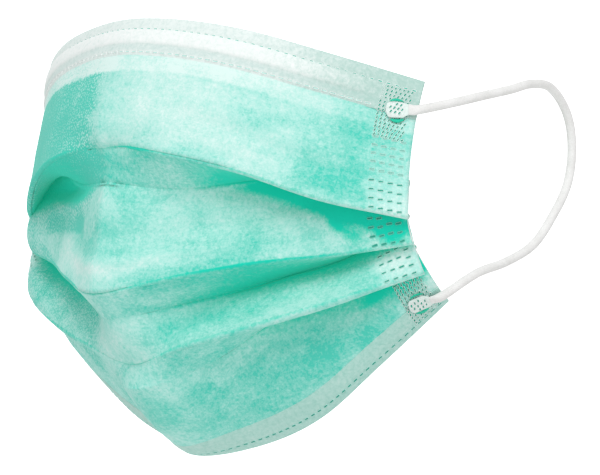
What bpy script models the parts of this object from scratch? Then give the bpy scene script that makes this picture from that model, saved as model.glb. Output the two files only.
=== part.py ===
"""Pleated ear-loop face mask, held open in the form that it has when it is worn.

Metres, +Z up. The mask's front faces -Y and the wearer's left is +X. The origin is the middle of the
face seat, the open back of the mask, at the height of the mouth.
"""

import math

import bmesh
import bpy
import numpy as np

MM = 0.001

# Driving sizes
HALF_WIDTH = 76.0 * MM     # nose line to the widest point of the side edge
DEPTH = 54.0 * MM          # face seat to the foremost fold
RISE = 60.0 * MM           # face seat to just over the nose bridge
CLOTH = 1.0 * MM           # wall of the pleated body
HEM = 1.0 * MM             # wall of the two folded-over hems
FOLD_RADIUS = 0.9 * MM     # of the cloth's middle where a pleat turns back on itself
GAP = 0.3 * MM             # left between pieces that lie on each other
TOP_HEM = 10.6 * MM        # height of the top hem's front leg
BOTTOM_HEM = 7.3 * MM      # height of the bottom hem's front leg
INNER_LEG = 3.4 * MM       # height of each hem's leg behind the cloth
STRIP_TOP = 3.7 * MM       # nose strip's upper edge below the top edge
STRIP_WIDTH = 3.2 * MM
STRIP_THICK = 0.8 * MM
STRIP_END = 3.4            # where the strip ends, in stations from the nose line
CORD = 2.5 * MM            # ear loop's diameter
TAB = (7.0 * MM, 3.6 * MM, 1.0 * MM)  # flattened loop end: along the cord, across it, thick

COLUMNS = 15               # faces from the nose line to a side edge

# The five stations across half of the mask, as shares of the row's width
STATIONS = (0.0, 0.27, 0.53, 0.77, 1.0)

# One row for each line that runs across the mask, from the top edge down. A fold is the outer edge of a
# pleat, a crease its inner edge, and a middle row sets how far the panel between them swells.
#   width:   nose line to side edge, as a share of HALF_WIDTH
#   forward: at the five stations, as shares of DEPTH in front of the face seat
#   height:  at the five stations, as shares of RISE above the face seat
ROWS = {
    #              width  forward: nose, inner, cheek, outer, edge     height: nose, inner, cheek, outer, edge
    "top":        (0.918, (0.739, 0.691, 0.593, 0.399, -0.007), (0.932, 0.910, 0.852, 0.756, 0.626)),
    "middle_1":   (0.947, (0.925, 0.824, 0.678, 0.449, 0.125), (0.545, 0.609, 0.563, 0.454, 0.335)),
    "fold_1":     (0.995, (0.904, 0.912, 0.744, 0.501, 0.218), (0.374, 0.327, 0.245, 0.121, 0.040)),
    "crease_1":   (0.951, (0.870, 0.742, 0.521, 0.314, 0.146), (0.198, 0.172, 0.219, 0.258, 0.200)),
    "middle_2":   (0.953, (0.948, 0.765, 0.557, 0.354, 0.167), (-0.050, -0.013, 0.032, 0.065, 0.061)),
    "fold_2":     (0.981, (0.984, 0.829, 0.583, 0.347, 0.168), (-0.293, -0.221, -0.156, -0.119, -0.070)),
    "crease_2":   (0.926, (0.878, 0.608, 0.353, 0.171, 0.134), (-0.401, -0.316, -0.210, -0.107, 0.060)),
    "middle_3":   (0.955, (0.815, 0.646, 0.452, 0.275, 0.124), (-0.503, -0.405, -0.302, -0.224, -0.068)),
    "fold_3":     (0.989, (0.727, 0.713, 0.563, 0.353, 0.100), (-0.600, -0.515, -0.421, -0.315, -0.199)),
    "crease_3":   (0.927, (0.726, 0.541, 0.353, 0.163, 0.087), (-0.710, -0.596, -0.376, -0.251, -0.075)),
    "middle_4":   (0.973, (0.508, 0.364, 0.270, 0.144, 0.030), (-0.906, -0.770, -0.610, -0.433, -0.210)),
    "bottom":     (0.943, (0.261, 0.162, 0.112, 0.042, -0.132), (-1.010, -0.951, -0.826, -0.601, -0.311)),
}
# The pleats of the wearer's right swell further out and turn back again towards the side edge.
# What is added there at the five stations: along SWELL_WAY in shares of DEPTH, and up in shares of RISE
SWELL_WAY = (0.69, 0.72)  # outward and forward parts of a unit length
RIGHT_SWELL = {
    "fold_1":   ((0.0, 0.000, 0.000, 0.000, -0.035), (0.0, 0.000, 0.000, 0.000, 0.000)),
    "crease_1": ((0.0, 0.000, 0.000, 0.000, 0.000), (0.0, 0.044, 0.062, 0.053, 0.020)),
    "middle_2": ((0.0, 0.004, 0.028, 0.118, 0.051), (0.0, 0.000, 0.000, 0.000, 0.000)),
    "fold_2":   ((0.0, 0.004, 0.034, 0.087, 0.013), (0.0, 0.000, 0.018, 0.033, 0.004)),
    "crease_2": ((0.0, 0.004, 0.030, 0.080, 0.013), (0.0, 0.000, 0.010, 0.020, 0.000)),
    "middle_3": ((0.0, 0.004, 0.065, 0.163, 0.083), (0.0, 0.000, 0.000, 0.000, 0.000)),
    "fold_3":   ((0.0, 0.000, 0.035, 0.080, 0.050), (0.0, 0.000, 0.000, 0.000, 0.000)),
    "crease_3": ((0.0, 0.007, 0.046, 0.074, 0.054), (0.0, 0.000, 0.000, 0.000, 0.000)),
    "middle_4": ((0.0, -0.007, 0.022, 0.102, 0.093), (0.0, 0.000, 0.000, 0.000, 0.000)),
    "bottom":   ((0.0, -0.030, -0.015, 0.018, 0.048), (0.0, 0.000, 0.000, 0.000, 0.000)),
}
NO_SWELL = ((0.0,) * 5, (0.0,) * 5)
PANELS = (
    ("top", "middle_1", "fold_1", 7),
    ("crease_1", "middle_2", "fold_2", 5),
    ("crease_2", "middle_3", "fold_3", 4),
    ("crease_3", "middle_4", "bottom", 7),
)

# Free part of an ear loop from its upper to its lower end, in shares:
# outward of HALF_WIDTH, back of the face seat in DEPTH, height in RISE
LOOP_ROUTE = (
    # out,  back,  height
    (1.000, 0.104, 0.548),
    (1.013, 0.296, 0.585),
    (1.020, 0.472, 0.617),
    (1.018, 0.640, 0.650),
    (1.005, 0.805, 0.638),
    (0.993, 0.944, 0.528),
    (0.987, 0.991, 0.375),
    (0.987, 0.955, 0.210),
    (0.998, 0.822, 0.060),
    (1.000, 0.672, -0.070),
    (1.003, 0.470, -0.147),
    (1.006, 0.250, -0.200),
)
LOOP_POINTS = 50

# Where the loop's flattened ends are welded on: panel, whether it is measured from the top edge, stations
# from the nose line, and the distance along the cloth from the hemmed edge
UPPER_TAB = (PANELS[0], True, 3.79, 9.6 * MM)
LOWER_TAB = (PANELS[-1], False, 3.72, 7.1 * MM)
# Where the loop's cord crosses the side edge, at the same distance from the hemmed edge
UPPER_CROSSING = 8.3 * MM
LOWER_CROSSING = 5.2 * MM


def clear_scene():
    for obj in list(bpy.data.objects):
        bpy.data.objects.remove(obj, do_unlink=True)


def material(name, colour, roughness):
    made = bpy.data.materials.new(name)
    made.use_nodes = True
    shader = made.node_tree.nodes["Principled BSDF"]
    shader.inputs["Base Color"].default_value = (*colour, 1.0)
    shader.inputs["Roughness"].default_value = roughness
    made.diffuse_color = (*colour, 1.0)
    return made


def cardinal(before, here, after, beyond, share):
    """Smooth curve from here to after, with the neighbours setting its slopes."""
    leave = (after - before) / 2
    arrive = (beyond - here) / 2
    s2, s3 = share * share, share * share * share
    return (
        (2 * s3 - 3 * s2 + 1) * here
        + (s3 - 2 * s2 + share) * leave
        + (3 * s2 - 2 * s3) * after
        + (s3 - s2) * arrive
    )


def station_point(row, index):
    """Point of a row at a whole station, which is negative on the wearer's right."""
    width, forward, height = ROWS[row]
    swell, up = RIGHT_SWELL.get(row, NO_SWELL) if index < 0 else NO_SWELL
    side = -1 if index < 0 else 1
    index = abs(index)
    return np.array(
        [
            side * (width * STATIONS[index] * HALF_WIDTH + SWELL_WAY[0] * swell[index] * DEPTH),
            -(forward[index] + SWELL_WAY[1] * swell[index]) * DEPTH,
            (height[index] + up[index]) * RISE,
        ]
    )


def on_row(row, station):
    """Point of a row at any station: 0 is the nose line, 4 the wearer's left edge, -4 the right edge."""
    last = len(STATIONS) - 1
    start = min(max(math.floor(station), -last), last - 1)
    here, after = station_point(row, start), station_point(row, start + 1)
    before = station_point(row, start - 1) if start > -last else 2 * here - after
    beyond = station_point(row, start + 2) if start + 2 <= last else 2 * after - here
    return cardinal(before, here, after, beyond, station - start)


def unit(vector):
    return vector / np.linalg.norm(vector)


def on_panel(panel, station, share):
    """Point of a panel, share 0 at its upper row, 0.5 at its middle row and 1 at its lower row."""
    upper, middle, lower = (on_row(row, station) for row in panel[:3])
    return (
        upper * (1 - share) * (1 - 2 * share)
        + middle * 4 * share * (1 - share)
        + lower * share * (2 * share - 1)
    )


def across(place, station):
    """Unit direction towards the wearer's left, of a function of the station."""
    return unit(place(min(station + 0.05, 4.0)) - place(max(station - 0.05, -4.0)))


def all_stations(end, count):
    """Evenly spaced stations from one side to the other, with count steps on each side."""
    return np.linspace(-end, end, 2 * count + 1)


def panel_line(panel, station, first, last, count, room_up, room_down):
    """Rows down a panel, which stop short of its ends by the room that the fold's turn takes."""
    shares = np.linspace(0.0, 1.0, 41)
    line = np.array([on_panel(panel, station, share) for share in shares])
    length = np.concatenate([[0.0], np.cumsum(np.linalg.norm(np.diff(line, axis=0), axis=1))])
    room_up = room_up if first else 0.0
    room_down = room_down if last else 0.0
    stops = np.linspace(room_up, length[-1] - room_down, count)
    return [on_panel(panel, station, np.interp(stop, length, shares)) for stop in stops]


def turned(corner, arriving, leaving, sideways, behind_is_outside):
    """Rows round a fold or crease: tip and far side of a turn that is a full hairpin when the pleat is
    closed and no more than a rounded bend where it is open."""
    back_along = -arriving
    closed = max(0.0, (1 + float(back_along @ leaving)) / 2)
    outward = np.cross(arriving, sideways)
    behind = unit(outward if behind_is_outside else -outward)
    reach = FOLD_RADIUS * closed
    low_front = corner + back_along * FOLD_RADIUS * 0.35 + behind * reach * 0.2
    tip = corner + behind * reach
    low_back = corner + behind * reach * 1.8 + unit(leaving + back_along * 0.2) * FOLD_RADIUS * 0.35
    far = corner + behind * reach * 2 + leaving * FOLD_RADIUS
    return [low_front, tip, low_back, far]


def body_profile(station):
    """The cloth's middle at one station, from the top edge down to the bottom edge."""
    points = []
    for number, panel in enumerate(PANELS):
        first, last = number > 0, number < len(PANELS) - 1
        rows = panel_line(panel, station, first, last, panel[3], FOLD_RADIUS * 1.6, FOLD_RADIUS)
        points += rows[1:] if first else rows
        if not last:
            continue
        fold_row, crease_row = panel[2], PANELS[number + 1][0]
        fold, crease = on_row(fold_row, station), on_row(crease_row, station)
        below = on_panel(PANELS[number + 1], station, 0.35)
        arriving = unit(fold - rows[-2])
        riser = unit(crease - fold)
        leaving = unit(below - crease)
        sideways = across(lambda at: on_row(fold_row, at), station)
        fold_turn = turned(fold, arriving, riser, sideways, False)
        sideways = across(lambda at: on_row(crease_row, at), station)
        up_riser = unit(crease - fold_turn[-1])
        crease_turn = turned(crease, up_riser, leaving, sideways, True)
        start = crease - up_riser * FOLD_RADIUS
        points += fold_turn
        points += [(fold_turn[-1] + start) / 2, start]
        points += crease_turn
    return points


def grid_object(name, lines, thickness, surface, collection):
    """Loft: each line is one section, and neighbouring sections are joined by quads. On the wearer's
    right the quads start one corner on, so that their diagonals mirror those of the left."""
    rows = len(lines[0])
    vertices = [tuple(point) for line in lines for point in line]
    faces = []
    for column in range(len(lines) - 1):
        for row in range(rows - 1):
            corner = column * rows + row
            quad = (corner, corner + 1, corner + rows + 1, corner + rows)
            faces.append(quad if 2 * column + 1 > len(lines) - 1 else quad[1:] + quad[:1])
    mesh = bpy.data.meshes.new(name)
    mesh.from_pydata(vertices, [], faces)
    obj = bpy.data.objects.new(name, mesh)
    collection.objects.link(obj)
    mesh.materials.append(surface)
    wall = obj.modifiers.new("Wall", "SOLIDIFY")
    wall.thickness = thickness
    wall.offset = 0.0
    mesh.shade_smooth()
    mesh.set_sharp_from_angle(angle=math.radians(50))
    return obj


def hem_point(panel, from_top, station, down, lift):
    """Point at a distance along the cloth from its hemmed edge, lifted off the cloth's middle.
    A negative distance lies beyond the edge, straight on."""
    shares = np.linspace(0.0, 1.0, 41)
    if not from_top:
        shares = shares[::-1]
    line = np.array([on_panel(panel, station, share) for share in shares])
    length = np.concatenate([[0.0], np.cumsum(np.linalg.norm(np.diff(line, axis=0), axis=1))])
    share = np.interp(max(down, 0.0), length, shares)
    here = on_panel(panel, station, share)
    nearby = 0.02 if share < 0.5 else -0.02
    along = unit(on_panel(panel, station, share + nearby) - here) * (1 if nearby > 0 else -1)
    sideways = across(lambda at: on_panel(panel, at, share), station)
    outward = unit(np.cross(along, sideways))
    beyond = -along if from_top else along
    return here + beyond * max(-down, 0.0) + outward * lift


def hem_section(front_rows, lift, inner_leg):
    """Rows of a hem from its front leg's edge, over the cloth's edge and down behind it."""
    round_edge = []
    for step in range(5):
        angle = math.pi * step / 4
        round_edge.append((-lift * math.sin(angle), lift * math.cos(angle)))
    return front_rows + round_edge + [(inner_leg / 2, -lift), (inner_leg, -lift)]


def make_hem(name, panel, from_top, section_at, surface, collection):
    lines = []
    for station in all_stations(4.0, COLUMNS):
        lines.append([hem_point(panel, from_top, station, down, lift) for down, lift in section_at(station)])
    return grid_object(name, lines, HEM, surface, collection)


def top_hem_section(station):
    """Front leg with the sleeve that swells over the nose strip and fades out past its end."""
    flat = CLOTH / 2 + GAP + HEM / 2
    swell = (STRIP_THICK + GAP) * min(1.0, max(0.0, (STRIP_END + 0.3 - abs(station)) / 0.25))
    strip_foot = STRIP_TOP + STRIP_WIDTH
    front = [
        (TOP_HEM, flat),
        (TOP_HEM - 1.4 * MM, flat),
        (strip_foot + 1.0 * MM, flat),
        (strip_foot + 0.4 * MM, flat + swell),
        (STRIP_TOP + STRIP_WIDTH / 2, flat + swell),
        (STRIP_TOP - 0.4 * MM, flat + swell),
        (STRIP_TOP - 1.0 * MM, flat),
        (1.3 * MM, flat),
    ]
    return hem_section(front, flat, INNER_LEG)


def bottom_hem_section(_station):
    flat = CLOTH / 2 + GAP + HEM / 2
    front = [(BOTTOM_HEM, flat), (BOTTOM_HEM * 0.75, flat), (BOTTOM_HEM * 0.5, flat), (BOTTOM_HEM * 0.2, flat)]
    return hem_section(front, flat, INNER_LEG)


def make_strip(surface, collection):
    """Flat strip that lies in the top hem's sleeve."""
    lift = CLOTH / 2 + GAP + STRIP_THICK / 2
    lines = []
    for station in all_stations(STRIP_END, 14):
        lines.append(
            [
                hem_point(PANELS[0], True, station, STRIP_TOP + STRIP_WIDTH * share, lift)
                for share in (0.0, 0.5, 1.0)
            ]
        )
    return grid_object("nose_strip", lines, STRIP_THICK, surface, collection)


def crossing(side, place, down):
    """Middle of the cord where it passes over the hem at the side edge."""
    panel, from_top, _, _ = place
    lift = CLOTH / 2 + GAP + HEM + GAP + CORD / 2 + 0.25 * MM
    return hem_point(panel, from_top, side * 4.0, down, lift)


def tab_frame(side, place, down):
    """Centre of a flattened loop end, and its directions along the cord, across it and outward."""
    panel, from_top, station, tab_down = place
    lift = CLOTH / 2 + GAP + HEM + GAP + TAB[2] / 2
    centre = hem_point(panel, from_top, side * station, tab_down, lift)
    outward = unit(centre - hem_point(panel, from_top, side * station, tab_down, 0.0))
    towards = crossing(side, place, down) - centre
    along = unit(towards - outward * float(towards @ outward))
    return centre, along, np.cross(outward, along), outward


def tab_exit(side, place, down):
    """Where the round cord leaves a flattened end, high enough to clear the hem."""
    centre, along, _, outward = tab_frame(side, place, down)
    return centre + along * (TAB[0] / 2 + GAP) + outward * ((CORD - TAB[2]) / 2 + 0.2 * MM)


def loop_curve(side):
    """Points of an ear loop, read from a smooth curve through its two ends and its route."""
    route = [
        tab_exit(side, UPPER_TAB, UPPER_CROSSING),
        crossing(side, UPPER_TAB, UPPER_CROSSING),
        *(
            np.array([side * out * HALF_WIDTH, back * DEPTH, height * RISE])
            for out, back, height in LOOP_ROUTE
        ),
        crossing(side, LOWER_TAB, LOWER_CROSSING),
        tab_exit(side, LOWER_TAB, LOWER_CROSSING),
    ]
    dense = []
    for index in range(len(route) - 1):
        before = route[index - 1] if index else 2 * route[0] - route[1]
        beyond = route[index + 2] if index + 2 < len(route) else 2 * route[-1] - route[-2]
        for step in range(20):
            dense.append(cardinal(before, route[index], route[index + 1], beyond, step / 20))
    dense.append(route[-1])
    dense = np.array(dense)
    length = np.concatenate([[0.0], np.cumsum(np.linalg.norm(np.diff(dense, axis=0), axis=1))])
    stops = np.linspace(0.0, length[-1], LOOP_POINTS)
    return np.stack([np.interp(stops, length, dense[:, axis]) for axis in range(3)], axis=1)


def make_loop(name, side, surface, collection):
    curve = bpy.data.curves.new(name, "CURVE")
    curve.dimensions = "3D"
    curve.bevel_depth = CORD / 2
    curve.bevel_resolution = 2
    curve.use_fill_caps = True
    spline = curve.splines.new("POLY")
    points = loop_curve(side)
    spline.points.add(len(points) - 1)
    for point, place in zip(spline.points, points):
        point.co = (*place, 1.0)
    curve.materials.append(surface)
    obj = bpy.data.objects.new(name, curve)
    collection.objects.link(obj)
    return obj


def make_tab(name, side, place, down, surface, collection):
    """Flattened loop end: a small slab that lies on the hem and points at the loop's end."""
    length, width, thick = TAB
    centre, along, over, outward = tab_frame(side, place, down)
    mesh = bpy.data.meshes.new(name)
    slab = bmesh.new()
    bmesh.ops.create_cube(slab, size=1.0)
    for vertex in slab.verts:
        offset = along * vertex.co.x * length + over * vertex.co.y * width + outward * vertex.co.z * thick
        vertex.co = centre + offset
    slab.to_mesh(mesh)
    slab.free()
    mesh.materials.append(surface)
    obj = bpy.data.objects.new(name, mesh)
    collection.objects.link(obj)
    rounding = obj.modifiers.new("Rounding", "BEVEL")
    rounding.width = 0.35 * MM
    rounding.segments = 2
    return obj


def main():
    clear_scene()
    collection = bpy.data.collections.new("face_mask")
    bpy.context.scene.collection.children.link(collection)
    outer_ply = material("green_nonwoven", (0.33, 0.75, 0.66), 0.85)
    white_ply = material("white_nonwoven", (0.80, 0.87, 0.85), 0.85)
    pale_ply = material("pale_green_nonwoven", (0.55, 0.80, 0.74), 0.85)
    elastic = material("white_elastic", (0.86, 0.86, 0.85), 0.75)
    strip = material("white_strip", (0.82, 0.82, 0.80), 0.5)

    lines = [body_profile(station) for station in all_stations(4.0, COLUMNS)]
    grid_object("mask_body", lines, CLOTH, outer_ply, collection)
    make_hem("top_band", PANELS[0], True, top_hem_section, white_ply, collection)
    make_hem("bottom_band", PANELS[-1], False, bottom_hem_section, pale_ply, collection)
    make_strip(strip, collection)
    for side, hand in ((1, "left"), (-1, "right")):
        make_loop(f"ear_loop_{hand}", side, elastic, collection)
        make_tab(f"loop_end_upper_{hand}", side, UPPER_TAB, UPPER_CROSSING, elastic, collection)
        make_tab(f"loop_end_lower_{hand}", side, LOWER_TAB, LOWER_CROSSING, elastic, collection)


main()
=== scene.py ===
"""Pleated ear-loop face mask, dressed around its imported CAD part.

Metres, +Z up, in the part's own frame: the mask's front faces -Y, the wearer's left is +X, and the origin
is the middle of the face seat at the height of the mouth.
"""

from __future__ import annotations

import logging
import math
from dataclasses import dataclass, field
from enum import Enum
from typing import Any, Callable, Mapping, Sequence

import bmesh
import bpy
import numpy as np
from mathutils import Matrix, Vector, noise
from mathutils.bvhtree import BVHTree

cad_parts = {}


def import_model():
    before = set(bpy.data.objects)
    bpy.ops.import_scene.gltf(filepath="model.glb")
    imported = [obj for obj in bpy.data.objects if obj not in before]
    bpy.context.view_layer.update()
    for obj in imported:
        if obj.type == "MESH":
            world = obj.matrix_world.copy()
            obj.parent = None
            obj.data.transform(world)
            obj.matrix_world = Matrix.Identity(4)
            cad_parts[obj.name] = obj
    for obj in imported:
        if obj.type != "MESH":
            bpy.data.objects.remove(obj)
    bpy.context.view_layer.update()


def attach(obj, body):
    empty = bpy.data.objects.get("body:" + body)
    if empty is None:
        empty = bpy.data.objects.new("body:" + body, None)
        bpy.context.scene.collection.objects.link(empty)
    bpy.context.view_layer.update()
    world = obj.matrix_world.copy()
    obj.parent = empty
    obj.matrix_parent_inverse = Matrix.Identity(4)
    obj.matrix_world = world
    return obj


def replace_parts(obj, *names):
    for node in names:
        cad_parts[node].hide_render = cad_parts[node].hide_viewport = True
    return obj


LOG = logging.getLogger("face_mask")
MM = 0.001
BODY = "root"
STATIONS = (0.0, 0.27, 0.53, 0.77, 1.0)  # shares of a row's width, nose line to side edge


class Side(Enum):
    """The wearer's side that a piece is on."""

    LEFT = 1
    RIGHT = -1

    @property
    def word(self) -> str:
        """The side's name as the CAD nodes write it."""
        return self.name.lower()


class Edge(Enum):
    """The edge of the cloth that a hem folds over."""

    TOP = "upper"
    BOTTOM = "lower"


def unit(vector: np.ndarray) -> np.ndarray:
    """The vector at length one, along the last axis."""
    return vector / np.maximum(np.linalg.norm(vector, axis=-1, keepdims=True), 1e-12)


def soft_step(value: np.ndarray | float, low: float, high: float) -> np.ndarray:
    """Smooth step from 0 at low to 1 at high.

    Args:
        value: Where the step is read.
        low: The value at which the step leaves 0.
        high: The value at which it reaches 1.

    Returns:
        The step, of the same shape as value.
    """
    share = np.clip((np.asarray(value, float) - low) / (high - low), 0.0, 1.0)
    return share * share * (3 - 2 * share)


def cardinal(before: np.ndarray, here: np.ndarray, after: np.ndarray, beyond: np.ndarray, share: float) -> np.ndarray:
    """Smooth curve from here to after, with the neighbours setting its slopes.

    Args:
        before: The point ahead of here.
        here: Where the stretch starts.
        after: Where it ends.
        beyond: The point past after.
        share: How far along the stretch, 0 to 1.

    Returns:
        The point on the curve.
    """
    leave, arrive = (after - before) / 2, (beyond - here) / 2
    s2, s3 = share * share, share**3
    return (2 * s3 - 3 * s2 + 1) * here + (s3 - 2 * s2 + share) * leave + (3 * s2 - 2 * s3) * after + (s3 - s2) * arrive


@dataclass(frozen=True)
class Row:
    """One line across the mask, in shares of the form's sizes at the five stations.

    The last two tables are what the wearer's right side has on top: swell along SWELL_WAY, and up.
    """

    width: float
    forward: tuple[float, ...]
    height: tuple[float, ...]
    swell: tuple[float, ...] = (0.0,) * 5
    up: tuple[float, ...] = (0.0,) * 5


@dataclass(frozen=True)
class Panel:
    """Cloth between two rows, with a middle row that sets its swell."""

    upper: str
    middle: str
    lower: str
    count: int


SWELL_WAY = (0.69, 0.72)  # outward and forward parts of a unit length
ROWS: Mapping[str, Row] = {
    #               width   forward: nose, inner, cheek, outer, edge       height: nose, inner, cheek, outer, edge
    "top": Row(0.918, (0.739, 0.691, 0.593, 0.399, -0.007), (0.932, 0.910, 0.852, 0.756, 0.626)),
    "middle_1": Row(0.947, (0.925, 0.824, 0.678, 0.449, 0.125), (0.545, 0.609, 0.563, 0.454, 0.335)),
    "fold_1": Row(
        0.995, (0.904, 0.912, 0.744, 0.501, 0.218), (0.374, 0.327, 0.245, 0.121, 0.040), swell=(0.0, 0.0, 0.0, 0.0, -0.035)
    ),
    "crease_1": Row(
        0.951, (0.870, 0.742, 0.521, 0.314, 0.146), (0.198, 0.172, 0.219, 0.258, 0.200), up=(0.0, 0.044, 0.062, 0.053, 0.020)
    ),
    "middle_2": Row(
        0.953, (0.948, 0.765, 0.557, 0.354, 0.167), (-0.050, -0.013, 0.032, 0.065, 0.061), (0.0, 0.004, 0.028, 0.118, 0.051)
    ),
    "fold_2": Row(
        0.981,
        (0.984, 0.829, 0.583, 0.347, 0.168),
        (-0.293, -0.221, -0.156, -0.119, -0.070),
        (0.0, 0.004, 0.034, 0.087, 0.013),
        (0.0, 0.000, 0.018, 0.033, 0.004),
    ),
    "crease_2": Row(
        0.926,
        (0.878, 0.608, 0.353, 0.171, 0.134),
        (-0.401, -0.316, -0.210, -0.107, 0.060),
        (0.0, 0.004, 0.030, 0.080, 0.013),
        (0.0, 0.000, 0.010, 0.020, 0.000),
    ),
    "middle_3": Row(
        0.955, (0.815, 0.646, 0.452, 0.275, 0.124), (-0.503, -0.405, -0.302, -0.224, -0.068), (0.0, 0.004, 0.065, 0.163, 0.083)
    ),
    "fold_3": Row(
        0.989, (0.727, 0.713, 0.563, 0.353, 0.100), (-0.600, -0.515, -0.421, -0.315, -0.199), (0.0, 0.000, 0.035, 0.080, 0.050)
    ),
    "crease_3": Row(
        0.927, (0.726, 0.541, 0.353, 0.163, 0.087), (-0.710, -0.596, -0.376, -0.251, -0.075), (0.0, 0.007, 0.046, 0.074, 0.054)
    ),
    "middle_4": Row(
        0.973, (0.508, 0.364, 0.270, 0.144, 0.030), (-0.906, -0.770, -0.610, -0.433, -0.210), (0.0, -0.007, 0.022, 0.102, 0.093)
    ),
    "bottom": Row(
        0.943, (0.261, 0.162, 0.112, 0.042, -0.132), (-1.010, -0.951, -0.826, -0.601, -0.311), (0.0, -0.030, -0.015, 0.018, 0.048)
    ),
}
PANELS = (
    Panel("top", "middle_1", "fold_1", 42),
    Panel("crease_1", "middle_2", "fold_2", 34),
    Panel("crease_2", "middle_3", "fold_3", 22),
    Panel("crease_3", "middle_4", "bottom", 34),
)


@dataclass(frozen=True)
class WornForm:
    """The shape that the cloth takes on the wearer."""

    half_width: float = 76.0 * MM
    depth: float = 54.0 * MM
    rise: float = 60.0 * MM
    fold_radius: float = 0.62 * MM  # of the cloth's middle; the plies here are thinner than the CAD wall

    def row_point(self, row: str, index: int) -> np.ndarray:
        """Point of a row at a whole station, which is negative on the wearer's right."""
        line, away = ROWS[row], abs(index)
        side, swell, up = (-1, line.swell[away], line.up[away]) if index < 0 else (1, 0.0, 0.0)
        out = line.width * STATIONS[away] * self.half_width + SWELL_WAY[0] * swell * self.depth
        forward = line.forward[away] + SWELL_WAY[1] * swell
        return np.array([side * out, -forward * self.depth, (line.height[away] + up) * self.rise])

    def row_at(self, row: str, station: float) -> np.ndarray:
        """Point of a row at any station from -4 to 4.

        Args:
            row: The row's name.
            station: 0 is the nose line, 4 the wearer's left edge and -4 the right edge.

        Returns:
            The point, in metres.
        """
        last = len(STATIONS) - 1
        start = min(max(math.floor(station), -last), last - 1)
        here, after = self.row_point(row, start), self.row_point(row, start + 1)
        before = self.row_point(row, start - 1) if start > -last else 2 * here - after
        beyond = self.row_point(row, start + 2) if start + 2 <= last else 2 * after - here
        return cardinal(before, here, after, beyond, station - start)

    def panel_at(self, panel: Panel, station: float, shares: np.ndarray) -> np.ndarray:
        """Points down a panel, share 0 at its upper row and 1 at its lower row."""
        upper, middle, lower = (self.row_at(row, station) for row in (panel.upper, panel.middle, panel.lower))
        s = np.asarray(shares, float)[..., None]
        return upper * (1 - s) * (1 - 2 * s) + middle * 4 * s * (1 - s) + lower * s * (2 * s - 1)

    def across(self, place: Callable[[float], np.ndarray], station: float) -> np.ndarray:
        """Unit direction towards the wearer's left of a function of the station."""
        return unit(place(min(station + 0.05, 4.0)) - place(max(station - 0.05, -4.0)))


@dataclass(frozen=True)
class Dent:
    """A soft ridge, or a hollow where its height is negative, on one panel."""

    panel: int
    station: float
    share: float
    stations: float
    shares: float
    height: float
    slant: float = 0.0

    def at(self, station: np.ndarray, share: np.ndarray) -> np.ndarray:
        """Height of the dent over the panel."""
        along = (station - self.station) / self.stations
        over = (share - self.share - self.slant * (station - self.station)) / self.shares
        return self.height * np.exp(-(along**2) - over**2)


DENTS = (
    #    panel station share  stations shares height
    # The bend down the nose line, where the cloth was once folded flat
    Dent(1, 0.0, 0.72, 1.05, 0.055, 0.55 * MM),
    Dent(1, 0.0, 0.50, 1.30, 0.16, -0.70 * MM),
    # The ridge and the pocket above it, under the first pleat on the wearer's right
    Dent(1, -1.4, 0.27, 1.1, 0.07, 0.9 * MM, -0.20),
    Dent(1, -1.9, 0.16, 0.8, 0.10, -2.2 * MM, -0.15),
    Dent(0, 1.45, 0.93, 0.80, 0.05, 0.45 * MM),
    Dent(0, 2.2, 0.55, 1.10, 0.05, -0.25 * MM, 0.03),
    Dent(0, 1.9, 0.42, 0.90, 0.04, 0.20 * MM, 0.02),
    Dent(0, 3.0, 0.62, 0.60, 0.10, -0.45 * MM, -0.06),
    Dent(0, -0.9, 0.70, 0.50, 0.18, -0.60 * MM, 0.12),
    Dent(1, 2.1, 0.40, 0.90, 0.12, -0.50 * MM, -0.05),
    Dent(1, 1.4, 0.30, 0.40, 0.10, 0.35 * MM, 0.10),
    Dent(2, 0.4, 0.55, 0.30, 0.30, 0.45 * MM),
    Dent(2, 2.0, 0.60, 1.20, 0.14, -0.30 * MM),
    Dent(3, 0.9, 0.35, 0.25, 0.25, 0.50 * MM, 0.25),
    Dent(3, 1.5, 0.40, 0.20, 0.22, -0.35 * MM, 0.30),
    Dent(3, -0.7, 0.45, 0.35, 0.30, -0.60 * MM, -0.20),
    Dent(3, 2.4, 0.50, 0.60, 0.10, 0.30 * MM, -0.08),
)


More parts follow.
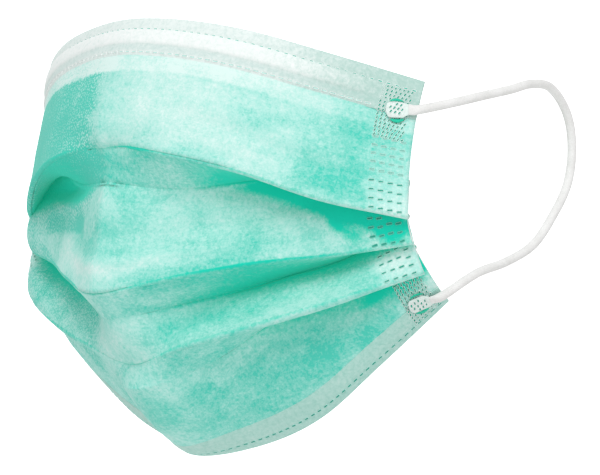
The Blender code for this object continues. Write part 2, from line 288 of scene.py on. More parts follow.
@dataclass
class WornCloth:
    """Grid of points on the cloth's middle, from edge to edge and from the top down the unfolded pleats."""

    form: WornForm
    columns: int = 181
    nose_bend: float = 1.15 * MM
    nose_bend_reach: float = 5.0 * MM
    wrinkle: float = 0.16 * MM
    hem_free: tuple[float, float] = (9.5 * MM, 14.0 * MM)
    grid: np.ndarray = field(init=False)
    normals: np.ndarray = field(init=False)
    panel_of: np.ndarray = field(init=False)
    share_of: np.ndarray = field(init=False)
    stations: np.ndarray = field(init=False)

    def __post_init__(self) -> None:
        """Lays the grid and presses the dents into it."""
        self.stations = np.linspace(-4.0, 4.0, self.columns)
        profiles = [self.profile(float(station)) for station in self.stations]
        self.grid = np.array([profile[0] for profile in profiles])
        _, self.panel_of, self.share_of = profiles[self.columns // 2]
        self.normals = self.facing(self.grid)
        self.grid = self.grid + self.normals * self.relief()[..., None]
        self.normals = self.facing(self.grid)

    @staticmethod
    def facing(grid: np.ndarray) -> np.ndarray:
        """Outward unit normals of a grid of columns by rows."""
        return unit(np.cross(np.gradient(grid, axis=1), np.gradient(grid, axis=0)))

    def turn(self, corner: np.ndarray, arriving: np.ndarray, leaving: np.ndarray, sideways: np.ndarray, fold: bool) -> list[np.ndarray]:
        """Points round a fold or crease: a full hairpin where the pleat is closed, a rounded bend where it is open.

        Args:
            corner: The fold's point on its row.
            arriving: Direction down the cloth into the corner.
            leaving: Direction down the cloth out of it.
            sideways: Direction along the fold.
            fold: True for a pleat's outer edge, False for its inner edge.

        Returns:
            Four points, in order down the cloth.
        """
        radius = self.form.fold_radius
        closed = max(0.0, (1 - float(arriving @ leaving)) / 2)
        outward = np.cross(arriving, sideways)
        behind = unit(-outward if fold else outward)
        reach = radius * closed
        return [
            corner - arriving * radius * 0.35 + behind * reach * 0.2,
            corner + behind * reach,
            corner + behind * reach * 1.8 + unit(leaving - arriving * 0.2) * radius * 0.35,
            corner + behind * reach * 2 + leaving * radius,
        ]

    def panel_rows(self, number: int, station: float) -> tuple[list[np.ndarray], np.ndarray]:
        """Rows down a panel, which stop short of its folds by the room that their turns take."""
        panel, radius = PANELS[number], self.form.fold_radius
        shares = np.linspace(0.0, 1.0, 61)
        line = self.form.panel_at(panel, station, shares)
        length = np.concatenate([[0.0], np.cumsum(np.linalg.norm(np.diff(line, axis=0), axis=1))])
        start = radius * 1.6 if number else 0.0
        end = length[-1] - (radius if number < len(PANELS) - 1 else 0.0)
        stops = np.interp(np.linspace(start, end, panel.count), length, shares)
        return list(self.form.panel_at(panel, station, stops)), stops

    def profile(self, station: float) -> tuple[np.ndarray, np.ndarray, np.ndarray]:
        """The cloth's middle at one station.

        Args:
            station: -4 to 4.

        Returns:
            The points from the top edge to the bottom edge, the panel of each and its share down that panel.
        """
        form, radius = self.form, self.form.fold_radius
        points: list[np.ndarray] = []
        panels: list[float] = []
        shares: list[float] = []
        for number, panel in enumerate(PANELS):
            rows, stops = self.panel_rows(number, station)
            keep = slice(1, None) if number else slice(None)
            points += rows[keep]
            panels += [number] * len(rows[keep])
            shares += list(stops[keep])
            if number == len(PANELS) - 1:
                continue
            under = PANELS[number + 1]
            fold, crease = form.row_at(panel.lower, station), form.row_at(under.upper, station)
            below = form.panel_at(under, station, np.array([0.35]))[0]
            riser = unit(crease - fold)
            fold_turn = self.turn(fold, unit(fold - rows[-2]), riser, form.across(lambda at: form.row_at(panel.lower, at), station), True)
            up_riser = unit(crease - fold_turn[-1])
            crease_turn = self.turn(
                crease, up_riser, unit(below - crease), form.across(lambda at: form.row_at(under.upper, at), station), False
            )
            start = crease - up_riser * radius
            bent = [rows[-1], *fold_turn, (fold_turn[-1] * 2 + start) / 3, (fold_turn[-1] + start * 2) / 3, start, *crease_turn]
            first_below = self.panel_rows(number + 1, station)[0][1]
            for index in range(1, len(bent)):
                beyond = bent[index + 1] if index + 1 < len(bent) else first_below
                before = bent[index - 2] if index > 1 else rows[-2]
                fine = 3 if index <= 4 or index >= len(bent) - 4 else 2
                for step in range(1, fine + 1):
                    points.append(cardinal(before, bent[index - 1], bent[index], beyond, step / fine))
                    panels.append(number + (index / len(bent)))
                    shares.append(1.0 if index < len(bent) / 2 else 0.0)
        return np.array(points), np.array(panels), np.array(shares)

    def relief(self) -> np.ndarray:
        """How far each point is raised off the plain form, in metres."""
        station = self.stations[:, None] * np.ones(len(self.share_of))
        share = np.ones(self.columns)[:, None] * self.share_of
        whole = np.floor(self.panel_of)
        raised = np.zeros_like(station)
        for dent in DENTS:
            raised += np.where(self.panel_of == dent.panel, dent.at(station, share), 0.0)
        bend = self.nose_bend * np.exp(-np.abs(self.grid[..., 0]) / self.nose_bend_reach)
        raised += np.where(self.panel_of <= 1, bend * soft_step(share + self.panel_of, 0.22, 0.75), 0.0)
        raised += np.where(whole == 1, bend * (1 - soft_step(share, 0.0, 0.5)) * (self.panel_of == 1), 0.0)
        rough = np.array([[noise.fractal(Vector(p) * 70.0, 1.0, 2.0, 3, noise_basis="PERLIN_ORIGINAL") for p in line] for line in self.grid])
        turn = np.where(self.panel_of == whole, 1.0, 0.25)
        raised += rough * self.wrinkle * 1.6 * turn
        return raised * self.clear_of_hems() * soft_step(4.0 - np.abs(station), 0.0, 0.25)

    def clear_of_hems(self) -> np.ndarray:
        """0 under the hems and 1 past them, so that the hems lie flat on the cloth."""
        low, high = self.hem_free
        steps = np.linalg.norm(np.diff(self.grid, axis=1), axis=2)
        down = np.concatenate([np.zeros((self.columns, 1)), np.cumsum(steps, axis=1)], axis=1)
        return soft_step(down, low, high) * soft_step(down[:, -1:] - down, low - 3 * MM, high - 3 * MM)

    def run(self) -> tuple[np.ndarray, np.ndarray]:
        """Distances along the cloth: from the nose line, signed, and from the top edge."""
        middle = self.columns // 2
        sideways = np.linalg.norm(np.diff(self.grid, axis=0), axis=2)
        along = np.concatenate([np.zeros((1, len(self.share_of))), np.cumsum(sideways, axis=0)])
        steps = np.linalg.norm(np.diff(self.grid, axis=1), axis=2)
        down = np.concatenate([np.zeros((self.columns, 1)), np.cumsum(steps, axis=1)], axis=1)
        return along - along[middle], down

    def spot(self, number: int, station: float, share: float, lift: float) -> tuple[np.ndarray, np.ndarray]:
        """A point on a panel, lifted off the cloth's middle.

        Args:
            number: The panel, 0 to 3.
            station: -4 to 4.
            share: Down the panel, 0 to 1.
            lift: Distance off the middle, in metres.

        Returns:
            The point and the unit normal there.
        """
        rows = np.nonzero(self.panel_of == number)[0]
        column = (station + 4.0) / 8.0 * (self.columns - 1)
        c0 = min(int(column), self.columns - 2)
        tc = column - c0
        row = float(np.interp(share, self.share_of[rows], np.arange(len(rows))))
        r0 = min(int(row), len(rows) - 2)
        tr = row - r0
        r0, r1 = rows[r0], rows[r0 + 1]

        def mix(values: np.ndarray) -> np.ndarray:
            upper = values[c0, r0] * (1 - tc) + values[c0 + 1, r0] * tc
            lower = values[c0, r1] * (1 - tc) + values[c0 + 1, r1] * tc
            return upper * (1 - tr) + lower * tr

        normal = unit(mix(self.normals))
        return mix(self.grid) + normal * lift, normal

    def station_from_edge(self, number: int, side: Side, share: float, distance: float) -> float:
        """The station at a distance along the cloth from a side edge."""
        tries = np.linspace(4.0, 2.9, 23) * side.value
        line = np.array([self.spot(number, float(at), share, 0.0)[0] for at in tries])
        length = np.concatenate([[0.0], np.cumsum(np.linalg.norm(np.diff(line, axis=0), axis=1))])
        return float(np.interp(distance, length, tries))


def linear(hex_code: str) -> tuple[float, float, float, float]:
    """The linear colour of an sRGB hex value such as "#8FD9CA"."""
    parts = [int(hex_code[i : i + 2], 16) / 255 for i in (1, 3, 5)]
    red, green, blue = (p / 12.92 if p <= 0.04045 else ((p + 0.055) / 1.055) ** 2.4 for p in parts)
    return red, green, blue, 1.0


def add_node(
    tree: bpy.types.NodeTree, kind: str, settings: Mapping[str, Any] | None = None, inputs: Mapping[str | int, Any] | None = None
) -> bpy.types.Node:
    """Adds a node to a tree, with its settings and inputs.

    Args:
        tree: A shader or geometry tree.
        kind: The node's type.
        settings: Its properties by name.
        inputs: Its inputs by name or number; a socket is linked, and anything else is set.

    Returns:
        The node.
    """
    made = tree.nodes.new(kind)
    for name, value in (settings or {}).items():
        setattr(made, name, value)
    for key, value in (inputs or {}).items():
        if isinstance(value, bpy.types.NodeSocket):
            tree.links.new(value, made.inputs[key])
        else:
            made.inputs[key].default_value = value
    return made


@dataclass(frozen=True)
class Nonwoven:
    """Spunbond polypropylene: fine fibres laid at random and heat-bonded, so it is mottled where they gather."""

    name: str
    thin: str
    middle: str
    thick: str
    # colour of the cloth in painted shade, in its folds and pockets
    deep: str
    cloud: float = 15.0  # mm across a cloud of fibres
    mottle: float = 1.0  # strength of the clouds
    contrast: float = 1.0
    fibre: float = 0.42  # mm between fibre streaks: coarser than the real 0.02 mm, so that it shows
    bond: float = 0.80  # mm between the points where the fibres are bonded
    bump: float = 0.30
    glow: float = 0.0  # painted light: emission in the folds that stands in for light through the cloth, which closed plies keep out here
    roughness: float = 0.86

    def layers(self, tree: bpy.types.NodeTree) -> dict[str, bpy.types.NodeSocket]:
        """The patterns of the cloth: clouds, bands, specks, grain, fibres and bonding points.

        Args:
            tree: The material's tree.

        Returns:
            Each pattern's value by name.
        """
        place = add_node(tree, "ShaderNodeTexCoord")
        mm = add_node(tree, "ShaderNodeVectorMath", {"operation": "SCALE"}, {0: place.outputs["Object"], "Scale": 1000.0}).outputs[0]
        flat = add_node(tree, "ShaderNodeVectorMath", {"operation": "SCALE"}, {0: place.outputs["UV"], "Scale": 1000.0}).outputs[0]
        made = {}
        for name, scale, detail, rough, bent in (
            ("clouds", 1 / self.cloud, 6.0, 0.55, 0.8),
            ("specks", 0.9, 4.0, 0.68, 0.4),
            ("grain", 0.5 / self.fibre, 3.0, 0.70, 0.0),
        ):
            noise_inputs = {"Vector": mm, "Scale": scale, "Detail": detail, "Roughness": rough, "Distortion": bent}
            made[name] = add_node(tree, "ShaderNodeTexNoise", {}, noise_inputs).outputs["Fac"]
        band_at = add_node(tree, "ShaderNodeMapping", {}, {"Vector": flat, "Scale": (0.030, 0.15, 1.0)})
        bands = add_node(tree, "ShaderNodeTexNoise", {}, {"Vector": band_at.outputs[0], "Scale": 1.0, "Detail": 5.0, "Roughness": 0.6})
        made["bands"] = bands.outputs["Fac"]
        crossed = None
        for turn in (0.62, -0.55, 1.9):
            settings = {"Vector": flat, "Rotation": (0.0, 0.0, turn), "Scale": (0.22 / self.fibre, 1 / self.fibre, 1.0)}
            at = add_node(tree, "ShaderNodeMapping", {}, settings)
            layer = add_node(tree, "ShaderNodeTexNoise", {}, {"Vector": at.outputs[0], "Scale": 1.0, "Detail": 2.0, "Distortion": 0.4})
            if crossed is None:
                crossed = layer.outputs["Fac"]
            else:
                crossed = add_node(tree, "ShaderNodeMath", {"operation": "MAXIMUM"}, {0: crossed, 1: layer.outputs["Fac"]}).outputs[0]
        made["fibres"] = crossed
        points = add_node(
            tree, "ShaderNodeTexVoronoi", {"voronoi_dimensions": "2D"}, {"Vector": flat, "Scale": 1 / self.bond, "Randomness": 0.85}
        )
        round_point = {"Value": points.outputs["Distance"], "From Min": 0.50, "From Max": 0.12}
        made["points"] = add_node(tree, "ShaderNodeMapRange", {"interpolation_type": "SMOOTHSTEP"}, round_point).outputs[0]
        return made

    def build(self) -> bpy.types.Material:
        """Makes the material."""
        made = bpy.data.materials.new(self.name)
        made.use_nodes = True
        tree = made.node_tree
        shader = tree.nodes["Principled BSDF"]
        layers = self.layers(tree)
        tint, hollow, stipple = (
            add_node(tree, "ShaderNodeAttribute", {"attribute_name": name}).outputs["Fac"] for name in ("tint", "hollow", "stipple")
        )
        total, middle = tint, 0.0
        weights = {"clouds": 0.55 * self.mottle, "bands": 0.40 * self.mottle, "specks": 0.55, "grain": 0.28, "fibres": -0.22}
        for name, weight in weights.items():
            total = add_node(tree, "ShaderNodeMath", {"operation": "MULTIPLY_ADD"}, {0: layers[name], 1: weight, 2: total}).outputs[0]
            middle += weight * (0.60 if name == "fibres" else 0.50)
        dotted = add_node(tree, "ShaderNodeMath", {"operation": "MULTIPLY"}, {0: layers["points"], 1: stipple}).outputs[0]
        total = add_node(tree, "ShaderNodeMath", {"operation": "MULTIPLY_ADD"}, {0: dotted, 1: -0.30, 2: total}).outputs[0]
        spread = 0.30 / self.contrast
        weight = add_node(tree, "ShaderNodeMapRange", {}, {"Value": total, "From Min": middle - spread, "From Max": middle + spread})
        ramp = add_node(tree, "ShaderNodeValToRGB", {}, {"Fac": weight.outputs[0]})
        ramp.color_ramp.elements[0].color = linear(self.thin)
        ramp.color_ramp.elements[1].color = linear(self.thick)
        ramp.color_ramp.elements.new(0.5).color = linear(self.middle)
        # Painted shade: the colour goes to the shaded colour where the hollow attribute marks shade, broken up by
        # specks. With glow set, the same places emit a little, which is painted light.
        shade_and_specks = add_node(tree, "ShaderNodeMath", {"operation": "MULTIPLY_ADD"}, {0: layers["specks"], 1: 0.5, 2: hollow}).outputs[0]
        painted_shade_mix = add_node(tree, "ShaderNodeMapRange", {"interpolation_type": "SMOOTHSTEP"}, {"Value": shade_and_specks, "From Min": 0.32, "From Max": 0.85})
        inputs = {0: painted_shade_mix.outputs[0], 6: ramp.outputs["Color"], 7: linear(self.deep)}
        colour = add_node(tree, "ShaderNodeMix", {"data_type": "RGBA"}, inputs)
        tree.links.new(colour.outputs[2], shader.inputs["Base Color"])
        if self.glow:
            fold_glow = add_node(tree, "ShaderNodeMath", {"operation": "MULTIPLY"}, {0: painted_shade_mix.outputs[0], 1: self.glow})
            shader.inputs["Emission Color"].default_value = linear(self.deep)
            tree.links.new(fold_glow.outputs[0], shader.inputs["Emission Strength"])

        rough = add_node(tree, "ShaderNodeMath", {"operation": "MULTIPLY_ADD"}, {0: layers["grain"], 1: 0.8, 2: layers["fibres"]})
        height = add_node(tree, "ShaderNodeMath", {"operation": "MULTIPLY_ADD"}, {0: dotted, 1: 1.2, 2: rough.outputs[0]})
        bump = add_node(tree, "ShaderNodeBump", {}, {"Height": height.outputs[0], "Strength": self.bump, "Distance": 0.12 * MM})
        tree.links.new(bump.outputs[0], shader.inputs["Normal"])
        shader.inputs["Roughness"].default_value = self.roughness
        shader.inputs["Specular IOR Level"].default_value = 0.25
        shader.inputs["Sheen Weight"].default_value = 0.12
        shader.inputs["Sheen Roughness"].default_value = 0.6
        return made


@dataclass(frozen=True)
class WeldFilm:
    """Polypropylene melted to a thin clear film by the sealing wheel, so it is darker and glossier than the cloth."""

    name: str
    colour: str
    roughness: float = 0.38

    def build(self) -> bpy.types.Material:
        """Makes the material."""
        made = bpy.data.materials.new(self.name)
        made.use_nodes = True
        tree = made.node_tree
        shader = tree.nodes["Principled BSDF"]
        place = add_node(tree, "ShaderNodeTexCoord")
        mottle = add_node(tree, "ShaderNodeTexNoise", {}, {"Vector": place.outputs["Object"], "Scale": 1400.0, "Detail": 2.0})
        shade = add_node(tree, "ShaderNodeMapRange", {}, {"Value": mottle.outputs["Fac"], "To Min": 0.80, "To Max": 1.12})
        colour = add_node(
            tree,
            "ShaderNodeMix",
            {"data_type": "RGBA", "blend_type": "MULTIPLY"},
            {0: 1.0, 6: linear(self.colour), 7: shade.outputs[0]},
        )
        tree.links.new(colour.outputs[2], shader.inputs["Base Color"])
        shader.inputs["Roughness"].default_value = self.roughness
        shader.inputs["IOR"].default_value = 1.49
        return made


@dataclass(frozen=True)
class KnittedElastic:
    """Round knitted cord of nylon yarn over spandex: matt, with small stitches in columns along it."""

    name: str
    light: str
    shade: str

    def build(self) -> bpy.types.Material:
        """Makes the material."""
        made = bpy.data.materials.new(self.name)
        made.use_nodes = True
        tree = made.node_tree
        shader = tree.nodes["Principled BSDF"]
        place = add_node(tree, "ShaderNodeTexCoord")
        yarn = add_node(tree, "ShaderNodeTexNoise", {}, {"Vector": place.outputs["Object"], "Scale": 2600.0, "Detail": 3.0})
        blotch = add_node(tree, "ShaderNodeTexNoise", {}, {"Vector": place.outputs["Object"], "Scale": 260.0, "Detail": 2.0})
        both = add_node(tree, "ShaderNodeMath", {"operation": "MULTIPLY"}, {0: yarn.outputs["Fac"], 1: blotch.outputs["Fac"]})
        spread = add_node(tree, "ShaderNodeMapRange", {}, {"Value": both.outputs[0], "From Min": 0.12, "From Max": 0.34})
        colour = add_node(
            tree,
            "ShaderNodeMix",
            {"data_type": "RGBA"},
            {0: spread.outputs[0], 6: linear(self.shade), 7: linear(self.light)},
        )
        tree.links.new(colour.outputs[2], shader.inputs["Base Color"])
        bump = add_node(tree, "ShaderNodeBump", {}, {"Height": yarn.outputs["Fac"], "Strength": 0.25, "Distance": 0.08 * MM})
        tree.links.new(bump.outputs[0], shader.inputs["Normal"])
        shader.inputs["Roughness"].default_value = 0.8
        shader.inputs["Sheen Weight"].default_value = 0.2
        return made


@dataclass
class Finishes:
    """Every material of the mask, made once."""

    outer: bpy.types.Material = field(init=False)
    white: bpy.types.Material = field(init=False)
    lining: bpy.types.Material = field(init=False)
    pale: bpy.types.Material = field(init=False)
    green_film: bpy.types.Material = field(init=False)
    faint_film: bpy.types.Material = field(init=False)
    lattice_film: bpy.types.Material = field(init=False)
    pressed: bpy.types.Material = field(init=False)
    seam_film: bpy.types.Material = field(init=False)
    bright_film: bpy.types.Material = field(init=False)
    mint_rim: bpy.types.Material = field(init=False)
    green_rim: bpy.types.Material = field(init=False)
    white_rim: bpy.types.Material = field(init=False)
    elastic: bpy.types.Material = field(init=False)
    strip: bpy.types.Material = field(init=False)

    def __post_init__(self) -> None:
        """Builds the materials."""
        # The outer ply's folds take its shaded colour, which is painted shade, and glow a little there, which is
        # painted light.
        self.outer = Nonwoven("green_spunbond_polypropylene", "#DDF5F0", "#A9E7DC", "#4CD0BC", "#00C2A8", glow=0.21).build()
        self.white = Nonwoven(
            "white_spunbond_polypropylene", "#F6FAF9", "#E6F1EE", "#C9DEDA", "#A9CFC5", mottle=0.15, contrast=0.9, bump=0.40
        ).build()
        self.lining = Nonwoven("soft_white_lining_polypropylene", "#F7F9F8", "#EEF4F2", "#E0EBE8", "#BFD8D1", mottle=0.3).build()
        self.pale = Nonwoven("pale_green_spunbond_polypropylene", "#D0E9E3", "#B2DCD2", "#8ECABD", "#66BFAD", mottle=0.4).build()
        self.green_film = WeldFilm("melted_green_polypropylene_film", "#12A38C").build()
        self.faint_film = WeldFilm("faint_green_polypropylene_film", "#86CBBD", 0.6).build()
        self.lattice_film = WeldFilm("lattice_green_polypropylene_film", "#18A88F").build()
        self.pressed = WeldFilm("pressed_nylon_elastic", "#E4F1ED", 0.7).build()
        self.seam_film = WeldFilm("seam_green_polypropylene_film", "#4FC4AE").build()
        self.bright_film = WeldFilm("bright_green_polypropylene_film", "#10CDA9").build()
        self.mint_rim = WeldFilm("puffed_mint_polypropylene_rim", "#B8E9DF", 0.8).build()
        # Painted shade: a darker copy of the mint rim, for the seam that lies in the shade under the first pleat.
        self.green_rim = WeldFilm("puffed_green_polypropylene_rim", "#6FCDBB", 0.8).build()
        self.white_rim = WeldFilm("puffed_white_polypropylene_rim", "#F4FAF8", 0.8).build()
        self.elastic = KnittedElastic("knitted_nylon_elastic", "#EFEFEE", "#E3E3E1").build()
        self.strip = WeldFilm("moulded_polyethylene_strip", "#ECECE8", 0.5).build()


def surface_object(
    name: str, grid: np.ndarray, along: np.ndarray, down: np.ndarray, fields: Mapping[str, np.ndarray], surface: bpy.types.Material
) -> bpy.types.Object:
    """Quad surface through a grid of points, with a UV map in metres along the cloth.

    Args:
        name: The piece's name.
        grid: Points, columns by rows.
        along: Distance along the cloth at each point, for the map's first axis.
        down: Distance down the cloth, for its second axis.
        fields: Named values at each point, kept as attributes.
        surface: The material.

    Returns:
        The object, linked to the scene.
    """
    columns, rows = grid.shape[:2]
    corner = (np.arange(columns - 1)[:, None] * rows + np.arange(rows - 1)).ravel()
    faces = np.stack([corner, corner + 1, corner + rows + 1, corner + rows], axis=1)
    mesh = bpy.data.meshes.new(name)
    mesh.from_pydata(grid.reshape(-1, 3).tolist(), [], faces.tolist())
    layer = mesh.uv_layers.new(name="cloth")
    uv = np.stack([along.ravel(), down.ravel()], axis=1)
    layer.data.foreach_set("uv", uv[faces.ravel()].astype(np.float32).ravel())
    for key, values in fields.items():
        attribute = mesh.attributes.new(key, "FLOAT", "POINT")
        attribute.data.foreach_set("value", values.astype(np.float32).ravel())
    mesh.materials.append(surface)
    mesh.shade_smooth()
    made = bpy.data.objects.new(name, mesh)
    bpy.context.scene.collection.objects.link(made)
    return made


def settle(piece: bpy.types.Object) -> bpy.types.Object:
    """Turns a piece with its modifiers into a plain mesh."""
    depsgraph = bpy.context.evaluated_depsgraph_get()
    mesh = bpy.data.meshes.new_from_object(piece.evaluated_get(depsgraph), preserve_all_data_layers=True, depsgraph=depsgraph)
    piece.modifiers.clear()
    piece.data = mesh
    return piece


def thicken(piece: bpy.types.Object, wall: float, offset: float) -> bpy.types.Object:
    """Gives a surface its wall, and makes it a plain mesh.

    Args:
        piece: A single surface.
        wall: Thickness, in metres.
        offset: 1 to add the wall on the side that the surface faces, -1 behind it.

    Returns:
        The piece.
    """
    shell = piece.modifiers.new("Wall", "SOLIDIFY")
    shell.thickness = wall
    shell.offset = offset
    shell.use_quality_normals = True
    return settle(piece)


@dataclass
class PleatedBody:
    """The pleated cloth: a green outer ply and a white lining, which lie against each other."""

    cloth: WornCloth
    finishes: Finishes
    outer_lift: float = 0.10 * MM
    outer_wall: float = 0.40 * MM
    lining_wall: float = 0.35 * MM
    slack: float = 0.45 * MM  # the lining hangs clear of the folds of the outer ply
    shade_reach: float = 11.0 * MM
    shade_rays: int = 22
    inner_leg: float = 15.2 * MM  # where the white edge folded in behind the cloth ends
    # Painted shade on the wearer's right, which turns away from the light, with the fuller look of cloth seen edge-on:
    # panel number (its lower half is .5 less the fold), the station where the far look starts, and its strength
    far: Sequence[tuple[float, float, float]] = (
        (0.0, -0.3, 0.30), (0.12, -0.05, 0.34), (0.49, -0.02, 0.34), (0.5, -0.05, 0.30), (0.99, -0.05, 0.30),
        (1.0, -0.05, 0.34), (1.07, -0.25, 0.34), (1.15, -0.5, 0.30), (1.23, -0.9, 0.28), (1.30, -1.5, 0.22), (1.38, -2.4, 0.14),
        (1.5, -1.6, 0.30), (2.0, -0.7, 0.26), (2.25, -0.6, 0.20), (2.49, -0.5, 0.12), (3.0, -0.5, 0.10), (3.49, -0.5, 0.10),
    )
    tints: Sequence[Dent] = (
        # Clouds where the dye and the fibres gather, and painted light and shade among them: darker spots where the
        # cloth lies in shade near the wearer's left edge, and lighter ones that cancel the real shading beside the nose
        # line on the wearer's right. Panel, station, share, and the reach and strength of each cloud
        Dent(0, 3.10, 0.74, 0.55, 0.24, 0.27, 0.10),
        Dent(0, 3.6, 0.34, 0.45, 0.26, 0.28),
        Dent(0, 1.9, 0.75, 0.60, 0.20, -0.10),
        Dent(0, 1.4, 0.15, 1.60, 0.20, -0.10),
        Dent(0, 1.1, 0.45, 1.00, 0.30, -0.10),
        Dent(0, -2.3, 0.70, 1.20, 0.45, 0.26),
        Dent(0.5, 0.9, 0.40, 1.20, 0.60, 0.14),
        Dent(0.5, -1.0, 0.40, 1.00, 0.60, 0.24),
        Dent(1, -0.2, 0.79, 0.90, 0.05, -0.18),
        Dent(1, -0.1, 0.62, 0.90, 0.07, 0.20),
        Dent(1, 0.5, 0.40, 0.80, 0.14, 0.10),
        Dent(1, -0.9, 0.25, 0.60, 0.06, -0.25, -0.20),
        Dent(1, -0.3, 0.40, 0.35, 0.30, 0.10),
        Dent(1, -1.0, 0.38, 0.50, 0.16, 0.20),
        Dent(1, -0.8, 0.75, 0.90, 0.12, -0.10),
        Dent(2, -0.35, 0.50, 0.50, 0.60, -0.04),
        Dent(1, 1.3, 0.95, 0.90, 0.08, 0.24),
        Dent(1, 2.4, 0.75, 0.90, 0.16, 0.12),
        Dent(1.5, 1.5, 0.50, 1.40, 0.70, 0.22),
        Dent(2, 1.3, 0.55, 1.60, 0.50, 0.14),
        Dent(2.5, 1.2, 0.50, 1.60, 0.70, 0.16),
        Dent(3, 2.4, 0.45, 1.20, 0.40, 0.26),
        Dent(3, 0.8, 0.45, 1.00, 0.50, 0.14),
    )
    shades: Sequence[Dent] = (
        # Painted shade under the folds and in the pockets: little but light that came through the cloth arrives there,
        # so that its colour is full
        Dent(0.5, 0.0, 0.0, 9.0, 0.10, 0.70),
        Dent(1.5, 0.0, 0.0, 9.0, 0.12, 0.70),
        Dent(2.5, 0.0, 0.0, 9.0, 0.12, 0.60),
        Dent(0.5, 2.1, 0.55, 0.75, 0.30, 0.80),
        Dent(1, 2.1, 0.05, 0.60, 0.08, 0.75, 0.15),
        Dent(1, 2.9, 0.40, 0.85, 0.13, 0.95, 0.35),
        Dent(1, 3.02, 0.64, 0.09, 0.10, 0.75, 0.40),
        Dent(1, 3.22, 0.80, 0.12, 0.10, 0.60, 0.30),
        Dent(1, 3.75, 0.80, 0.26, 0.35, 0.62),
        Dent(1, -1.7, 0.14, 0.90, 0.12, 1.00, -0.10),
        Dent(1, -0.9, 0.06, 0.65, 0.07, 1.00, -0.12),
        Dent(3, -0.7, 0.20, 0.40, 0.06, 0.35, -0.20),
        Dent(0.5, -1.3, 0.65, 0.80, 0.45, 0.60),
        Dent(0.5, 0.55, 0.15, 0.40, 0.25, 0.50),
        Dent(1.5, 1.9, 0.30, 0.90, 0.50, 0.35),
        Dent(2, 2.9, 0.05, 0.90, 0.07, 0.35),
        Dent(2, -2.3, 0.18, 0.80, 0.20, 0.70),
        Dent(3, 3.2, 0.22, 0.20, 0.07, 0.50),
        Dent(3, 3.7, 0.32, 0.35, 0.22, 0.42),
    )

    def hollowness(self) -> np.ndarray:
        """Share of the light that nearby cloth keeps from each point of the front, 0 in the open and 1 in a fold."""
        grid, normals = self.cloth.grid, self.cloth.normals
        columns, rows = grid.shape[:2]
        corner = (np.arange(columns - 1)[:, None] * rows + np.arange(rows - 1)).ravel()
        faces = np.stack([corner, corner + 1, corner + rows + 1, corner + rows], axis=1)
        tree = BVHTree.FromPolygons(grid.reshape(-1, 3).tolist(), faces.tolist())
        golden = math.pi * (3 - math.sqrt(5))
        rays = []
        for number in range(self.shade_rays):
            height = math.sqrt((number + 0.5) / self.shade_rays)
            flat = math.sqrt(1 - height * height)
            rays.append((flat * math.cos(golden * number), flat * math.sin(golden * number), height))
        side = unit(np.cross(normals, np.array([0.13, 0.21, 0.97])))
        other = np.cross(normals, side)
        shade = np.zeros((columns, rows))
        for column in range(columns):
            for row in range(rows):
                normal = normals[column, row]
                start = Vector(grid[column, row] + normal * 0.7 * MM)
                for ray in rays:
                    towards = side[column, row] * ray[0] + other[column, row] * ray[1] + normal * ray[2]
                    hit = tree.ray_cast(start, Vector(towards), self.shade_reach)
                    if hit[3] is not None:
                        shade[column, row] += 1 - 0.6 * hit[3] / self.shade_reach
        return shade / self.shade_rays

    def spread(self, spots: Sequence[Dent]) -> np.ndarray:
        """Sum of the spots over the cloth; one on a half panel lies on the strip between a fold and its crease."""
        panel_of = self.cloth.panel_of
        station = self.cloth.stations[:, None] * np.ones(len(panel_of))
        between = panel_of != np.floor(panel_of)
        share = np.where(between, panel_of - np.floor(panel_of), self.cloth.share_of)
        made = np.zeros_like(station)
        for spot in spots:
            rows = between & (np.floor(panel_of) == math.floor(spot.panel)) if spot.panel % 1 else panel_of == spot.panel
            made += np.where(rows, spot.at(station, np.ones_like(station) * share), 0.0)
        return made

    def soften(self, values: np.ndarray, passes: int = 2) -> np.ndarray:
        """Blurs values across and down the cloth."""
        for _ in range(passes):
            for axis in (0, 1):
                padded = np.concatenate([values.take([0], axis), values, values.take([-1], axis)], axis)
                count = values.shape[axis]
                values = sum(padded.take(range(k, k + count), axis) * w for k, w in enumerate((0.25, 0.5, 0.25)))
        return values

    def far_side(self) -> np.ndarray:
        """How much thicker the cloth looks where it turns away, painted as shade on the side away from the light: at
        each place down it, from a station on.
        """
        place = self.cloth.panel_of + np.where(self.cloth.panel_of % 1 == 0, self.cloth.share_of * 0.49, 0.0)
        starts, strengths = ([np.interp(place, *zip(*((row[0], row[k]) for row in self.far))) for k in (1, 2)])
        station = self.cloth.stations[:, None]
        return strengths * (1 - soft_step(station - starts, -0.35, 0.05))

    def tint(self) -> np.ndarray:
        """How far each point's colour is moved towards the thick, 0 for none; this holds painted light and shade as
        well as the dye clouds.
        """
        along, down = self.cloth.run()
        moved = self.soften(self.spread(self.tints))
        station = self.cloth.stations[:, None]
        # Painted shade on the wearer's right, which turns away from the light.
        moved += self.far_side()
        edge = np.minimum(along - along[:1], along[-1:] - along)
        uneven = np.array([[noise.noise(Vector(p) * 420.0) for p in line] for line in self.cloth.grid]) * 1.3 * MM
        low = soft_step(self.cloth.panel_of * 2 + self.cloth.share_of, 0.30, 0.80)
        moved -= (0.02 + 0.14 * low) * (1 - soft_step(edge + uneven * 1.5, 9.5 * MM, 13.5 * MM))
        double = 1 - soft_step(down + uneven * 0.2, self.inner_leg - 0.5 * MM, self.inner_leg + 0.4 * MM)
        moved -= (0.14 + 0.36 * (1 - soft_step(station, -0.4, 0.4))) * double
        moved += 0.10 * np.exp(-(((down - self.inner_leg) / (0.30 * MM)) ** 2))
        return moved

    def hollow(self) -> np.ndarray:
        """How far each point lies in the full colour of a fold: painted shade, from the occlusion that nearby cloth
        casts and the listed shade spots.
        """
        cast = self.soften(self.hollowness())
        return np.clip(cast * 0.9 + self.soften(self.spread(self.shades), 3), 0.0, 1.2)

